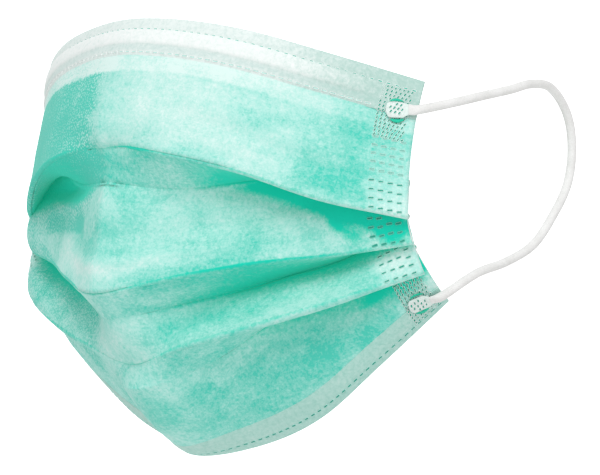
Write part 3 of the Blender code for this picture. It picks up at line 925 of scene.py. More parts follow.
    def build(self) -> list[bpy.types.Object]:
        """Makes the two plies.

        Returns:
            The outer ply and the lining.
        """
        along, down = self.cloth.run()
        front = self.cloth.grid + self.cloth.normals * self.outer_lift
        inside = soft_step(down, 17 * MM, 23 * MM) * soft_step(down[:, -1:] - down, 12 * MM, 18 * MM)
        inside *= (1 - soft_step(np.abs(self.cloth.stations), 3.0, 3.6))[:, None]
        share = self.cloth.share_of
        inside *= (self.cloth.panel_of % 1 == 0) * soft_step(share, 0.05, 0.18) * (1 - soft_step(share, 0.82, 0.95))
        back = self.cloth.grid - self.cloth.normals * (self.outer_lift + self.slack * inside)[..., None]
        stipple = 0.15 + np.clip(self.far_side() * 2.6, 0.0, 0.75)
        # The hollow attribute carries the painted shade. The tint carries dye clouds with painted light and shade.
        fields = {"hollow": self.hollow(), "tint": self.tint(), "stipple": stipple}
        outer = surface_object("outer_ply", front, along, down, fields, self.finishes.outer)
        thicken(outer, self.outer_wall, 1.0)
        plain = np.zeros_like(along)
        thin = {"hollow": plain, "tint": plain, "stipple": plain}
        lining = surface_object("lining_ply", back, along, down, thin, self.finishes.lining)
        thicken(lining, self.lining_wall, -1.0)
        for piece in (outer, lining):
            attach(piece, BODY)
        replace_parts(outer, "mask_body")
        return [outer, lining]


@dataclass(frozen=True)
class HemmedEdge:
    """The cloth next to its top or bottom edge, on which a hem and the loop's ends lie."""

    form: WornForm
    edge: Edge

    def frames(self, station: float, downs: Sequence[float]) -> tuple[np.ndarray, np.ndarray, np.ndarray]:
        """Places on the cloth's middle at distances from the hemmed edge.

        Args:
            station: -4 to 4.
            downs: Distances into the cloth, in metres; a negative one lies past the edge.

        Returns:
            The points, the unit directions into the cloth and the outward normals.
        """
        top = self.edge is Edge.TOP
        panel = PANELS[0] if top else PANELS[-1]
        shares = np.linspace(0.0, 1.0, 61) if top else np.linspace(1.0, 0.0, 61)
        line = self.form.panel_at(panel, station, shares)
        ahead = self.form.panel_at(panel, min(station + 0.05, 4.0), shares)
        behind = self.form.panel_at(panel, max(station - 0.05, -4.0), shares)
        length = np.concatenate([[0.0], np.cumsum(np.linalg.norm(np.diff(line, axis=0), axis=1))])
        inward = unit(np.gradient(line, axis=0))
        outward = unit(np.cross(inward, unit(ahead - behind))) * (1 if top else -1)
        places = np.asarray(downs, float)
        inside = np.maximum(places, 0.0)

        def read(values: np.ndarray) -> np.ndarray:
            return np.stack([np.interp(inside, length, values[:, axis]) for axis in range(3)], axis=1)

        way = unit(read(inward))
        return read(line) - way * np.maximum(-places, 0.0)[:, None], way, unit(read(outward))

    def place(self, station: float, down: float, lift: float) -> np.ndarray:
        """One point, lifted off the cloth's middle."""
        point, _, outward = self.frames(station, [down])
        return point[0] + outward[0] * lift

    def station_from_side(self, side: Side, down: float, distance: float) -> float:
        """The station at a distance along the cloth from a side edge."""
        tries = np.linspace(4.0, 2.6, 29) * side.value
        line = np.array([self.place(float(at), down, 0.0) for at in tries])
        length = np.concatenate([[0.0], np.cumsum(np.linalg.norm(np.diff(line, axis=0), axis=1))])
        return float(np.interp(distance, length, tries))


@dataclass
class Hem:
    """Strip of cloth folded over an edge of the mask and welded down along its lines."""

    name: str
    node: str
    slot: str
    cloth: HemmedEdge
    front: Sequence[tuple[float, float]]  # distance from the edge and lift of the inner face, in mm
    weld_lines: Sequence[float]  # distances from the edge, in mm
    pitch: float = 2.35 * MM
    wall: float = 0.32 * MM
    behind: float = 3.4 * MM
    columns: int = 481
    strip_end: float = 3.4
    pucker: float = 0.07 * MM

    def section(self, station: float) -> list[tuple[float, float]]:
        """Rows from the leg behind the cloth, over the edge and down the front leg, in metres."""
        away = abs(station)
        flat = 0.56 * MM
        swell = 1.0 - soft_step(away, self.strip_end - 0.05, self.strip_end + 0.3)
        welded = soft_step(away, 3.45, 3.6)
        rows = [(self.behind, -flat), (self.behind / 2, -flat), (0.7 * MM, -flat)]
        rows += [(-flat * math.sin(math.pi * k / 6), -flat * math.cos(math.pi * k / 6)) for k in range(7)]
        for down, lift in self.front:
            raised = lift * MM - flat
            kept = swell if raised > 0.25 * MM else 1.0 - 0.7 * welded
            rows.append((down * MM, flat + raised * float(kept)))
        return rows

    def build(self, surface: bpy.types.Material) -> bpy.types.Object:
        """Makes the hem.

        Args:
            surface: Its material.

        Returns:
            The piece.
        """
        stations = np.linspace(-4.0, 4.0, self.columns)
        lines, frames = [], []
        for station in stations:
            rows = self.section(float(station))
            downs = np.array([row[0] for row in rows])
            lifts = np.array([row[1] for row in rows])
            points, _, outward = self.cloth.frames(float(station), downs)
            lines.append(points + outward * lifts[:, None])
            frames.append(outward)
        grid, outward = np.array(lines), np.array(frames)
        downs = np.array([row[0] for row in self.section(0.0)])
        if self.cloth.edge is Edge.BOTTOM:
            grid, outward, downs = grid[:, ::-1], outward[:, ::-1], downs[::-1]
        steps = np.linalg.norm(np.diff(grid, axis=0), axis=2)
        along = np.concatenate([np.zeros((1, grid.shape[1])), np.cumsum(steps, axis=0)])
        along -= along[self.columns // 2]
        front = (np.arange(grid.shape[1]) >= 9) if self.cloth.edge is Edge.TOP else (np.arange(grid.shape[1]) < grid.shape[1] - 9)
        for line in self.weld_lines:
            near = np.exp(-(((downs - line * MM) / (0.55 * MM)) ** 2)) * front
            wave = 0.5 - 0.5 * np.cos(along / self.pitch * math.tau)
            grid += outward * (self.pucker * wave * near)[..., None]
        rough = np.array([[noise.noise(Vector(p) * 160.0) for p in line] for line in grid])
        puffed = np.clip(np.abs(downs) / (1.5 * MM), 0.0, 1.0) * front
        grid += outward * (0.05 * MM * rough * puffed)[..., None]
        # Painted shade: the hems go a little towards their shaded colour everywhere, and the top hem more so towards
        # the wearer's left end.
        most = 0.34 if self.cloth.edge is Edge.TOP else 0.05
        painted_hem_shade = (0.10 + most * soft_step(stations, 2.0, 3.9))[:, None] * np.ones_like(along)
        fields = {"hollow": painted_hem_shade, "tint": self.tint(stations, downs), "stipple": np.zeros_like(along)}
        piece = surface_object(self.name, grid, along, np.ones_like(along) * downs, fields, surface)
        thicken(piece, self.wall, 1.0)
        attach(piece, BODY)
        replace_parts(piece, self.node)
        return piece

    def tint(self, stations: np.ndarray, downs: np.ndarray) -> np.ndarray:
        """How far each point's colour is moved: greyer above the strip and whiter on it; on the top hem also painted
        shade, greyer just below the strip where the hem slopes in and towards the wearer's left end.
        """
        moved = np.zeros((len(stations), len(downs)))
        if self.cloth.edge is Edge.TOP:
            on_strip = soft_step(downs, 2.7 * MM, 3.3 * MM) * (1 - soft_step(downs, 6.8 * MM, 7.3 * MM))
            short = 1 - soft_step(np.abs(stations), self.strip_end - 0.1, self.strip_end + 0.2)
            moved += 0.02 - 0.25 * short[:, None] * on_strip
            # Painted shade: greyer from 7 to 9.5 mm in, where the hem slopes in below the strip.
            moved += 0.16 * soft_step(downs, 7.0 * MM, 7.6 * MM) * (1 - soft_step(downs, 9.0 * MM, 9.5 * MM))
            # Painted shade: greyer towards the wearer's left end.
            moved += 0.10 * soft_step(stations, 1.5, 3.5)[:, None]
        return moved

    def weld_guides(self, line: float, reach: tuple[float, float]) -> list[tuple[np.ndarray, np.ndarray]]:
        """The path of one weld line on the hem's outer face.

        Args:
            line: Distance from the edge, in mm.
            reach: First and last station.

        Returns:
            One path, as its points and its normals.
        """
        points, normals = [], []
        for station in np.linspace(*reach, 200):
            lift = float(np.interp(line, [row[0] for row in self.front], [row[1] for row in self.front])) * MM
            point, _, outward = self.cloth.frames(float(station), [line * MM])
            points.append(point[0] + outward[0] * (lift + self.wall + 0.10 * MM))
            normals.append(outward[0])
        return [(np.array(points), np.array(normals))]


@dataclass
class WeldStamps:
    """Marks that a sealing wheel leaves: small sunk dashes of melted film, each with a puffed rim.

    One geometry tree lays them along guide paths.
    """

    tree: bpy.types.NodeTree = field(init=False)
    stamp: bpy.types.Object = field(init=False)
    film: tuple[float, float] = (1.30 * MM, 0.40 * MM)
    rim: float = 0.26 * MM
    crest: float = 0.13 * MM

    def __post_init__(self) -> None:
        """Makes the stamp and the tree."""
        self.stamp = self.make_stamp()
        self.tree = self.make_tree()

    def ring(self, mesh: bmesh.types.BMesh, grow: float, height: float) -> list[bmesh.types.BMVert]:
        """A ring of vertices round the dash, grown outwards and at a height."""
        half_length, half_width = self.film[0] / 2, self.film[1] / 2
        made = []
        for number in range(12):
            angle = math.tau * number / 12
            centre = math.copysign(half_length - half_width, math.cos(angle))
            radius = half_width + grow
            made.append(mesh.verts.new((centre + radius * math.cos(angle), radius * math.sin(angle), height)))
        return made

    def make_stamp(self) -> bpy.types.Object:
        """One dash: film in the middle, rim round it."""
        data = bpy.data.meshes.new("weld_stamp")
        mesh = bmesh.new()
        inner = self.ring(mesh, 0.0, 0.0)
        crest = self.ring(mesh, self.rim * 0.4, self.crest)
        foot = self.ring(mesh, self.rim, -0.18 * MM)
        films = [mesh.faces.new(inner)]
        for low, high in ((inner, crest), (crest, foot)):
            for number in range(12):
                after = (number + 1) % 12
                mesh.faces.new((low[number], high[number], high[after], low[after]))
        base = [mesh.faces.new(foot)]
        bmesh.ops.recalc_face_normals(mesh, faces=mesh.faces)
        mesh.faces.index_update()
        chosen = {face.index for face in films}
        mesh.to_mesh(data)
        assert len(base) == 1
        mesh.free()
        flag = data.attributes.new("film", "BOOLEAN", "FACE")
        flag.data.foreach_set("value", [face.index in chosen for face in data.polygons])
        data.shade_smooth()
        made = bpy.data.objects.new("weld_stamp", data)
        bpy.context.scene.collection.objects.link(made)
        return made

    def make_tree(self) -> bpy.types.NodeTree:
        """The tree that lays stamps along guides, with its sizes as named inputs."""
        tree = bpy.data.node_groups.new("weld_stamps", "GeometryNodeTree")
        tree.interface.new_socket("Geometry", in_out="OUTPUT", socket_type="NodeSocketGeometry")
        for name, kind, value in (
            ("Guides", "Geometry", None),
            ("Stamp", "Object", None),
            ("Pitch", "Float", 2.35 * MM),
            ("Turn", "Float", 0.0),
            ("Size", "Vector", (1.0, 1.0, 1.0)),
            ("Unevenness", "Float", 0.08),
            ("Seed", "Int", 7),
            ("Film", "Material", None),
            ("Rim", "Material", None),
        ):
            socket = tree.interface.new_socket(name, in_out="INPUT", socket_type=f"NodeSocket{kind}")
            if value is not None:
                socket.default_value = value
        given = add_node(tree, "NodeGroupInput").outputs
        curve = add_node(tree, "GeometryNodeMeshToCurve", {}, {"Mesh": given["Guides"]})
        points = add_node(
            tree, "GeometryNodeCurveToPoints", {"mode": "LENGTH"}, {"Curve": curve.outputs[0], "Length": given["Pitch"]}
        )
        outward = add_node(tree, "GeometryNodeInputNamedAttribute", {"data_type": "FLOAT_VECTOR"}, {"Name": "outward"})
        facing = add_node(
            tree,
            "FunctionNodeAxesToRotation",
            {"primary_axis": "Z", "secondary_axis": "X"},
            {"Primary Axis": outward.outputs[0], "Secondary Axis": points.outputs["Tangent"]},
        )
        spin = add_node(tree, "FunctionNodeAxisAngleToRotation", {}, {"Axis": (0.0, 0.0, 1.0), "Angle": given["Turn"]})
        turned = add_node(
            tree,
            "FunctionNodeRotateRotation",
            {"rotation_space": "LOCAL"},
            {"Rotation": facing.outputs[0], "Rotate By": spin.outputs[0]},
        )
        low = add_node(tree, "ShaderNodeMath", {"operation": "SUBTRACT"}, {0: 1.0, 1: given["Unevenness"]})
        high = add_node(tree, "ShaderNodeMath", {"operation": "ADD"}, {0: 1.0, 1: given["Unevenness"]})
        chance = add_node(
            tree, "FunctionNodeRandomValue", {"data_type": "FLOAT"}, {2: low.outputs[0], 3: high.outputs[0], "Seed": given["Seed"]}
        )
        size = add_node(
            tree, "ShaderNodeVectorMath", {"operation": "SCALE"}, {0: given["Size"], "Scale": chance.outputs[1]}
        )
        stamp = add_node(tree, "GeometryNodeObjectInfo", {}, {"Object": given["Stamp"]})
        laid = add_node(
            tree,
            "GeometryNodeInstanceOnPoints",
            {},
            {
                "Points": points.outputs["Points"],
                "Instance": stamp.outputs["Geometry"],
                "Rotation": turned.outputs[0],
                "Scale": size.outputs[0],
            },
        )
        real = add_node(tree, "GeometryNodeRealizeInstances", {}, {"Geometry": laid.outputs[0]})
        rims = add_node(tree, "GeometryNodeSetMaterial", {}, {"Geometry": real.outputs[0], "Material": given["Rim"]})
        flag = add_node(tree, "GeometryNodeInputNamedAttribute", {"data_type": "BOOLEAN"}, {"Name": "film"})
        films = add_node(
            tree,
            "GeometryNodeSetMaterial",
            {},
            {"Geometry": rims.outputs[0], "Selection": flag.outputs[0], "Material": given["Film"]},
        )
        add_node(tree, "NodeGroupOutput", {}, {"Geometry": films.outputs[0]})
        return tree

    def lay(
        self,
        name: str,
        guides: Sequence[tuple[np.ndarray, np.ndarray]],
        film: bpy.types.Material,
        rim: bpy.types.Material,
        pitch: float = 2.35 * MM,
        turn: float = 0.0,
        size: tuple[float, float, float] = (1.0, 1.0, 1.0),
    ) -> bpy.types.Object:
        """Lays stamps along paths on the cloth.

        Args:
            name: The piece's name.
            guides: Paths, each as its points and outward normals.
            film: Material of the melted dash.
            rim: Material of the cloth puffed up round it.
            pitch: Distance between stamps.
            turn: Their turn from the path's direction, in radians.
            size: Their length, width and height, as shares of the stamp's.

        Returns:
            The piece, as a plain mesh.
        """
        mesh = bpy.data.meshes.new(name)
        places, edges, normals = [], [], []
        for points, outward in guides:
            start = len(places)
            places += points.tolist()
            normals += outward.tolist()
            edges += [(start + k, start + k + 1) for k in range(len(points) - 1)]
        mesh.from_pydata(places, edges, [])
        mesh.attributes.new("outward", "FLOAT_VECTOR", "POINT").data.foreach_set("vector", np.array(normals).ravel())
        piece = bpy.data.objects.new(name, mesh)
        bpy.context.scene.collection.objects.link(piece)
        layer = piece.modifiers.new("Welds", "NODES")
        layer.node_group = self.tree
        values = {"Stamp": self.stamp, "Pitch": pitch, "Turn": turn, "Size": size, "Film": film, "Rim": rim}
        for item in self.tree.interface.items_tree:
            if item.in_out == "INPUT" and item.name in values:
                layer[item.identifier] = values[item.name]
        settle(piece)
        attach(piece, BODY)
        return piece

    def clear_away(self) -> None:
        """Removes the stamp once everything is laid."""
        bpy.data.objects.remove(self.stamp, do_unlink=True)


@dataclass
class SideSeam:
    """Columns of weld dashes that hold the pleats together down a side edge."""

    cloth: WornCloth
    side: Side
    columns: Sequence[float] = (2.4, 4.9, 7.4, 9.9)  # mm in from the side edge
    pitch: float = 2.2 * MM
    lift: float = 0.56 * MM
    # Each panel's stretch of seam that shows, as shares down the panel
    shown: Sequence[tuple[int, float, float]] = ((0, 0.605, 0.985), (2, 0.15, 0.96), (3, 0.10, 0.26))
    name: str = "side_seam_welds"

    def build(self, stamps: WeldStamps, film: bpy.types.Material, rim: bpy.types.Material) -> bpy.types.Object:
        """Lays the dashes on every panel.

        Args:
            stamps: Lays them.
            film: The material of their melted middle.
            rim: The material of their rim.

        Returns:
            The piece.
        """
        guides = []
        for panel, first, last in self.shown:
            for distance in self.columns:
                points, normals = [], []
                for share in np.linspace(first, last, 40):
                    station = self.cloth.station_from_edge(panel, self.side, float(share), distance * MM)
                    point, normal = self.cloth.spot(panel, station, float(share), self.lift)
                    points.append(point)
                    normals.append(normal)
                guides.append((np.array(points), np.array(normals)))
        return stamps.lay(
            f"{self.name}_{self.side.word}",
            guides,
            film,
            rim,
            self.pitch,
            math.pi / 2,
        )


@dataclass
class LatticeWeld:
    """Patch of slanted weld marks that fixes a loop's end and the pleats at a corner of the mask."""

    hem: HemmedEdge
    side: Side
    reach: tuple[float, float]  # first and last row, mm from the hemmed edge
    hem_height: float  # mm
    loop: "EarLoop"
    seat: "LoopSeat"
    cloth_lift: float = 0.52  # mm, of the marks beside the hem
    across: tuple[float, float] = (2.6, 10.4)  # mm in from the side edge
    row_pitch: float = 1.15 * MM
    cell_pitch: float = 1.05 * MM
    row_shift: float = 0.55 * MM

    def build(self, stamps: WeldStamps, finishes: Finishes) -> bpy.types.Object:
        """Lays the marks, row by row.

        Args:
            stamps: Lays them.
            finishes: The mask's materials.

        Returns:
            The piece.
        """
        guides = []
        rows = np.arange(self.reach[0] * MM, self.reach[1] * MM, self.row_pitch)
        for number, down in enumerate(rows):
            shift = (number * self.row_shift) % self.cell_pitch
            points, normals = [], []
            lift = (0.92 if down < self.hem_height * MM else self.cloth_lift) * MM
            for inset in np.linspace(self.across[0] * MM + shift, self.across[1] * MM, 12):
                station = self.hem.station_from_side(self.side, float(down), float(inset))
                point, _, outward = self.hem.frames(station, [float(down)])
                place = point[0] + outward[0] * lift
                points.append(place + outward[0] * self.over_pad(place))
                normals.append(outward[0])
            guides.append((np.array(points), np.array(normals)))
        return stamps.lay(
            f"lattice_weld_{self.hem.edge.value}_{self.side.word}",
            guides,
            finishes.lattice_film,
            finishes.white_rim,
            self.cell_pitch,
            math.radians(62) * self.side.value,
            (0.95, 0.86, 1.0),
        )

    def over_pad(self, place: np.ndarray) -> float:
        """How much higher a mark lies because the loop's flattened end is under it."""
        centre, along, over, outward = self.loop.pad_frame(self.seat)
        length, width, thick = self.loop.pad
        from_centre = place - centre
        off = (float(from_centre @ along) / (length * 0.46)) ** 2 + (float(from_centre @ over) / (width * 0.47)) ** 2
        top = thick / 2 + 0.08 * MM - float(from_centre @ outward)
        return max(top, 0.0) * (1 - float(soft_step(math.sqrt(off), 0.90, 1.05)))


@dataclass
class NoseStrip:
    """Polyethylene strip over two thin wires, which lies in the top hem's sleeve."""

    hem: HemmedEdge
    top: float = 3.7 * MM
    width: float = 3.2 * MM
    end: float = 3.4
    foot: float = 0.54 * MM
    wall: float = 0.45 * MM
    wire: float = 0.16 * MM

    def build(self, finishes: Finishes) -> bpy.types.Object:
        """Makes the strip, with a low ridge over each wire."""
        stations = np.linspace(-self.end, self.end, 121)
        shares = np.linspace(0.0, 1.0, 17)
        ridge = np.exp(-(((shares - 0.2) / 0.09) ** 2)) + np.exp(-(((shares - 0.8) / 0.09) ** 2))
        lines = []
        for station in stations:
            points, _, outward = self.hem.frames(float(station), self.top + self.width * shares)
            lines.append(points + outward * (self.foot + self.wire * ridge)[:, None])
        grid = np.array(lines)
        along = np.ones(len(shares)) * stations[:, None] * 0.02
        piece = surface_object("nose_strip_core", grid, along, np.ones_like(along) * shares * self.width, {}, finishes.strip)
        thicken(piece, self.wall, 1.0)
        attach(piece, BODY)
        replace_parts(piece, "nose_strip")
        return piece


@dataclass(frozen=True)
class LoopSeat:
    """Where an end of an ear loop is welded on."""

    hem: HemmedEdge
    station: float
    down: float
    crossing: float
    lift: float = 0.86 * MM  # top of the hem


@dataclass
class EarLoop:
    """Round knitted elastic cord, with both its ends pressed flat and welded to the mask."""

    side: Side
    upper: LoopSeat
    lower: LoopSeat
    form: WornForm
    diameter: float = 2.5 * MM
    pad: tuple[float, float, float] = (6.0 * MM, 4.3 * MM, 0.75 * MM)  # along the cord, across it, thick
    rings: int = 760
    sides: int = 42
    ribs: int = 7
    stitch: float = 0.85 * MM
    relief: float = 0.022 * MM
    # Free part of the loop: outward of half_width, back of the face seat in depth, height in rise
    route: Sequence[tuple[float, float, float]] = (
        (1.000, 0.104, 0.548),
        (1.013, 0.296, 0.585),
        (1.020, 0.472, 0.617),
        (1.018, 0.640, 0.650),
        (1.005, 0.805, 0.638),
        (0.993, 0.944, 0.528),
        (0.987, 0.991, 0.375),
        (0.987, 0.955, 0.210),
        (0.998, 0.822, 0.060),
        (1.000, 0.672, -0.070),
        (1.003, 0.470, -0.147),
        (1.006, 0.250, -0.200),
    )

    def pad_frame(self, seat: LoopSeat) -> tuple[np.ndarray, np.ndarray, np.ndarray, np.ndarray]:
        """Centre of a flattened end and its directions along the cord, across it and outward."""
        station = seat.station * self.side.value
        point, _, outward = seat.hem.frames(station, [seat.down])
        centre = point[0] + outward[0] * (seat.lift + self.pad[2] / 2)
        towards = self.over_edge(seat) - centre
        along = unit(towards - outward[0] * float(towards @ outward[0]))
        return centre, along, np.cross(outward[0], along), outward[0]

    def over_edge(self, seat: LoopSeat) -> np.ndarray:
        """Middle of the cord where it passes over the side edge."""
        return seat.hem.place(4.0 * self.side.value, seat.crossing, seat.lift + self.diameter / 2 + 0.1 * MM)

    def cord_start(self, seat: LoopSeat) -> np.ndarray:
        """Where the cord leaves its flattened end."""
        centre, along, _, outward = self.pad_frame(seat)
        return centre + along * self.pad[0] / 2 + outward * 0.55 * MM

    def path(self) -> np.ndarray:
        """The cord's middle from its upper to its lower end, at even steps."""
        free = [
            np.array([out * self.form.half_width * self.side.value, back * self.form.depth, height * self.form.rise])
            for out, back, height in self.route
        ]
        knots = [self.cord_start(self.upper), self.over_edge(self.upper), *free, self.over_edge(self.lower), self.cord_start(self.lower)]
        dense = []
        for index in range(len(knots) - 1):
            before = knots[index - 1] if index else 2 * knots[0] - knots[1]
            beyond = knots[index + 2] if index + 2 < len(knots) else 2 * knots[-1] - knots[-2]
            dense += [cardinal(before, knots[index], knots[index + 1], beyond, step / 40) for step in range(40)]
        line = np.array([*dense, knots[-1]])
        length = np.concatenate([[0.0], np.cumsum(np.linalg.norm(np.diff(line, axis=0), axis=1))])
        stops = np.linspace(0.0, length[-1], self.rings)
        return np.stack([np.interp(stops, length, line[:, axis]) for axis in range(3)], axis=1)

    def tube(self) -> tuple[np.ndarray, np.ndarray]:
        """The cord's path and the rings of its knitted surface."""
        line = self.path()
        tangents = unit(np.gradient(line, axis=0))
        flat_ways = [self.pad_frame(self.upper)[3], self.pad_frame(self.lower)[3]]
        up = flat_ways[0] - tangents[0] * float(flat_ways[0] @ tangents[0])
        ups = []
        for tangent in tangents:
            up = unit(up - tangent * float(up @ tangent))
            ups.append(up)
        ups = np.array(ups)
        sideways = np.cross(tangents, ups)
        end = flat_ways[1] - tangents[-1] * float(flat_ways[1] @ tangents[-1])
        twist = math.atan2(float(end @ sideways[-1]), float(end @ ups[-1]))
        steps = np.linspace(0.0, 1.0, self.rings)
        length = float(np.linalg.norm(np.diff(line, axis=0), axis=1).sum())
        from_end = np.minimum(steps, 1 - steps) * length
        round_share = soft_step(from_end, 0.0, 3.2 * MM)
        half_out = (0.42 + 0.58 * round_share) * self.diameter / 2
        half_side = (1.22 - 0.22 * round_share) * self.diameter / 2
        angles = np.linspace(0.0, math.tau, self.sides, endpoint=False)
        rings = []
        for index in range(self.rings):
            turned = angles + twist * steps[index]
            along = steps[index] * length
            wave = np.abs(np.sin(angles * self.ribs))
            lean = np.where(np.sin(angles * self.ribs * 2) > 0, 0.25, -0.25)
            stitches = 0.5 + 0.5 * np.sin(math.tau * (along / self.stitch + lean * (1 - wave)))
            knit = self.relief * (wave**0.6 * (0.45 + 0.55 * stitches) - 0.6) * round_share[index]
            rings.append(
                line[index]
                + ups[index] * ((half_out[index] + knit) * np.cos(turned))[:, None]
                + sideways[index] * ((half_side[index] + knit) * np.sin(turned))[:, None]
            )
        return line, np.array(rings)

    def closed_tube(self, name: str, rings: np.ndarray, surface: bpy.types.Material) -> bpy.types.Object:
        """A tube through rings of points, closed at both ends."""
        count, sides = rings.shape[:2]
        faces = []
        for ring in range(count - 1):
            for k in range(sides):
                after = (k + 1) % sides
                faces.append((ring * sides + k, ring * sides + after, (ring + 1) * sides + after, (ring + 1) * sides + k))
        faces.append(tuple(reversed(range(sides))))
        faces.append(tuple((count - 1) * sides + k for k in range(sides)))
        mesh = bpy.data.meshes.new(name)
        mesh.from_pydata(rings.reshape(-1, 3).tolist(), [], faces)
        shell = bmesh.new()
        shell.from_mesh(mesh)
        bmesh.ops.recalc_face_normals(shell, faces=shell.faces)
        shell.to_mesh(mesh)
        shell.free()
        mesh.materials.append(surface)
        mesh.shade_smooth()
        made = bpy.data.objects.new(name, mesh)
        bpy.context.scene.collection.objects.link(made)
        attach(made, BODY)
        return made

    def make_end(self, seat: LoopSeat, surface: bpy.types.Material) -> bpy.types.Object:
        """A flattened end, which thins from the round cord to a rounded pad."""
        centre, along, over, outward = self.pad_frame(seat)
        length, width, thick = self.pad
        angles = np.linspace(0.0, math.tau, 28, endpoint=False)
        rings = []
        for share in np.linspace(0.0, 1.0, 34):
            tip = math.sqrt(max(0.0, 1 - max(0.0, 1 - share / 0.22) ** 2.4))
            neck = float(soft_step(share, 0.72, 1.0))
            half_width = (width / 2 * (1 - neck) + self.diameter * 0.61 * neck) * max(tip, 0.05)
            half_thick = (thick / 2 * (1 - neck) + self.diameter * 0.21 * neck) * (0.55 + 0.45 * tip)
            press = 0.06 * MM * math.sin(share * length / (1.0 * MM) * math.tau) * (1 - neck)
            middle = centre + along * length * (share - 0.5) + outward * 0.5 * MM * neck
            cos, sin = np.cos(angles), np.sin(angles)
            flat_sin = np.sign(sin) * np.abs(sin) ** 0.6
            flat_cos = np.sign(cos) * np.abs(cos) ** 0.8
            rings.append(
                middle
                + over * (half_width * flat_cos)[:, None]
                + outward * ((half_thick + press * np.maximum(sin, 0.0)) * flat_sin)[:, None]
            )
        name = f"pressed_end_{seat.hem.edge.value}_{self.side.word}"
        piece = self.closed_tube(name, np.array(rings), surface)
        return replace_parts(piece, f"loop_end_{seat.hem.edge.value}_{self.side.word}")

    def make_slits(self, seat: LoopSeat, surface: bpy.types.Material) -> bpy.types.Object:
        """Two narrow lens-shaped gaps beside a flattened end, where bright film shows."""
        centre, along, over, outward = self.pad_frame(seat)
        mesh = bpy.data.meshes.new(f"film_slits_{seat.hem.edge.value}_{self.side.word}")
        places, faces = [], []
        for way in (-1, 1):
            start = len(places)
            for step in np.linspace(0.0, 1.0, 15):
                half = (0.50 if way < 0 else 0.36) * MM * math.sin(math.pi * step) ** 0.6
                bend = 0.45 * MM * math.sin(math.pi * step)
                middle = centre + along * (step - 0.5) * 3.9 * MM + over * way * (self.pad[1] / 2 + 0.35 * MM + bend)
                middle = middle - outward * (self.pad[2] / 2 - 0.12 * MM)
                places += [tuple(middle - over * half), tuple(middle + outward * 0.05 * MM), tuple(middle + over * half)]
            for k in range(14):
                a = start + k * 3
                faces += [(a, a + 1, a + 4, a + 3), (a + 1, a + 2, a + 5, a + 4)]
        mesh.from_pydata(places, [], faces)
        mesh.materials.append(surface)
        mesh.shade_smooth()
        piece = bpy.data.objects.new(mesh.name, mesh)
        bpy.context.scene.collection.objects.link(piece)
        shell = piece.modifiers.new("Wall", "SOLIDIFY")
        shell.thickness = 0.08 * MM
        shell.offset = 0.0
        settle(piece)
        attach(piece, BODY)
        return piece

    def build(self, finishes: Finishes) -> list[bpy.types.Object]:
        """Makes the cord, its two flattened ends and the slits beside them.

        Args:
            finishes: The mask's materials.

        Returns:
            The pieces.
        """
        line, rings = self.tube()
        cord = self.closed_tube(f"elastic_loop_{self.side.word}", rings, finishes.elastic)
        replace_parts(cord, f"ear_loop_{self.side.word}")
        ends = [self.make_end(seat, finishes.pressed) for seat in (self.upper, self.lower)]
        slits = [self.make_slits(seat, finishes.bright_film) for seat in (self.upper, self.lower)]
        return [cord, *ends, *slits]


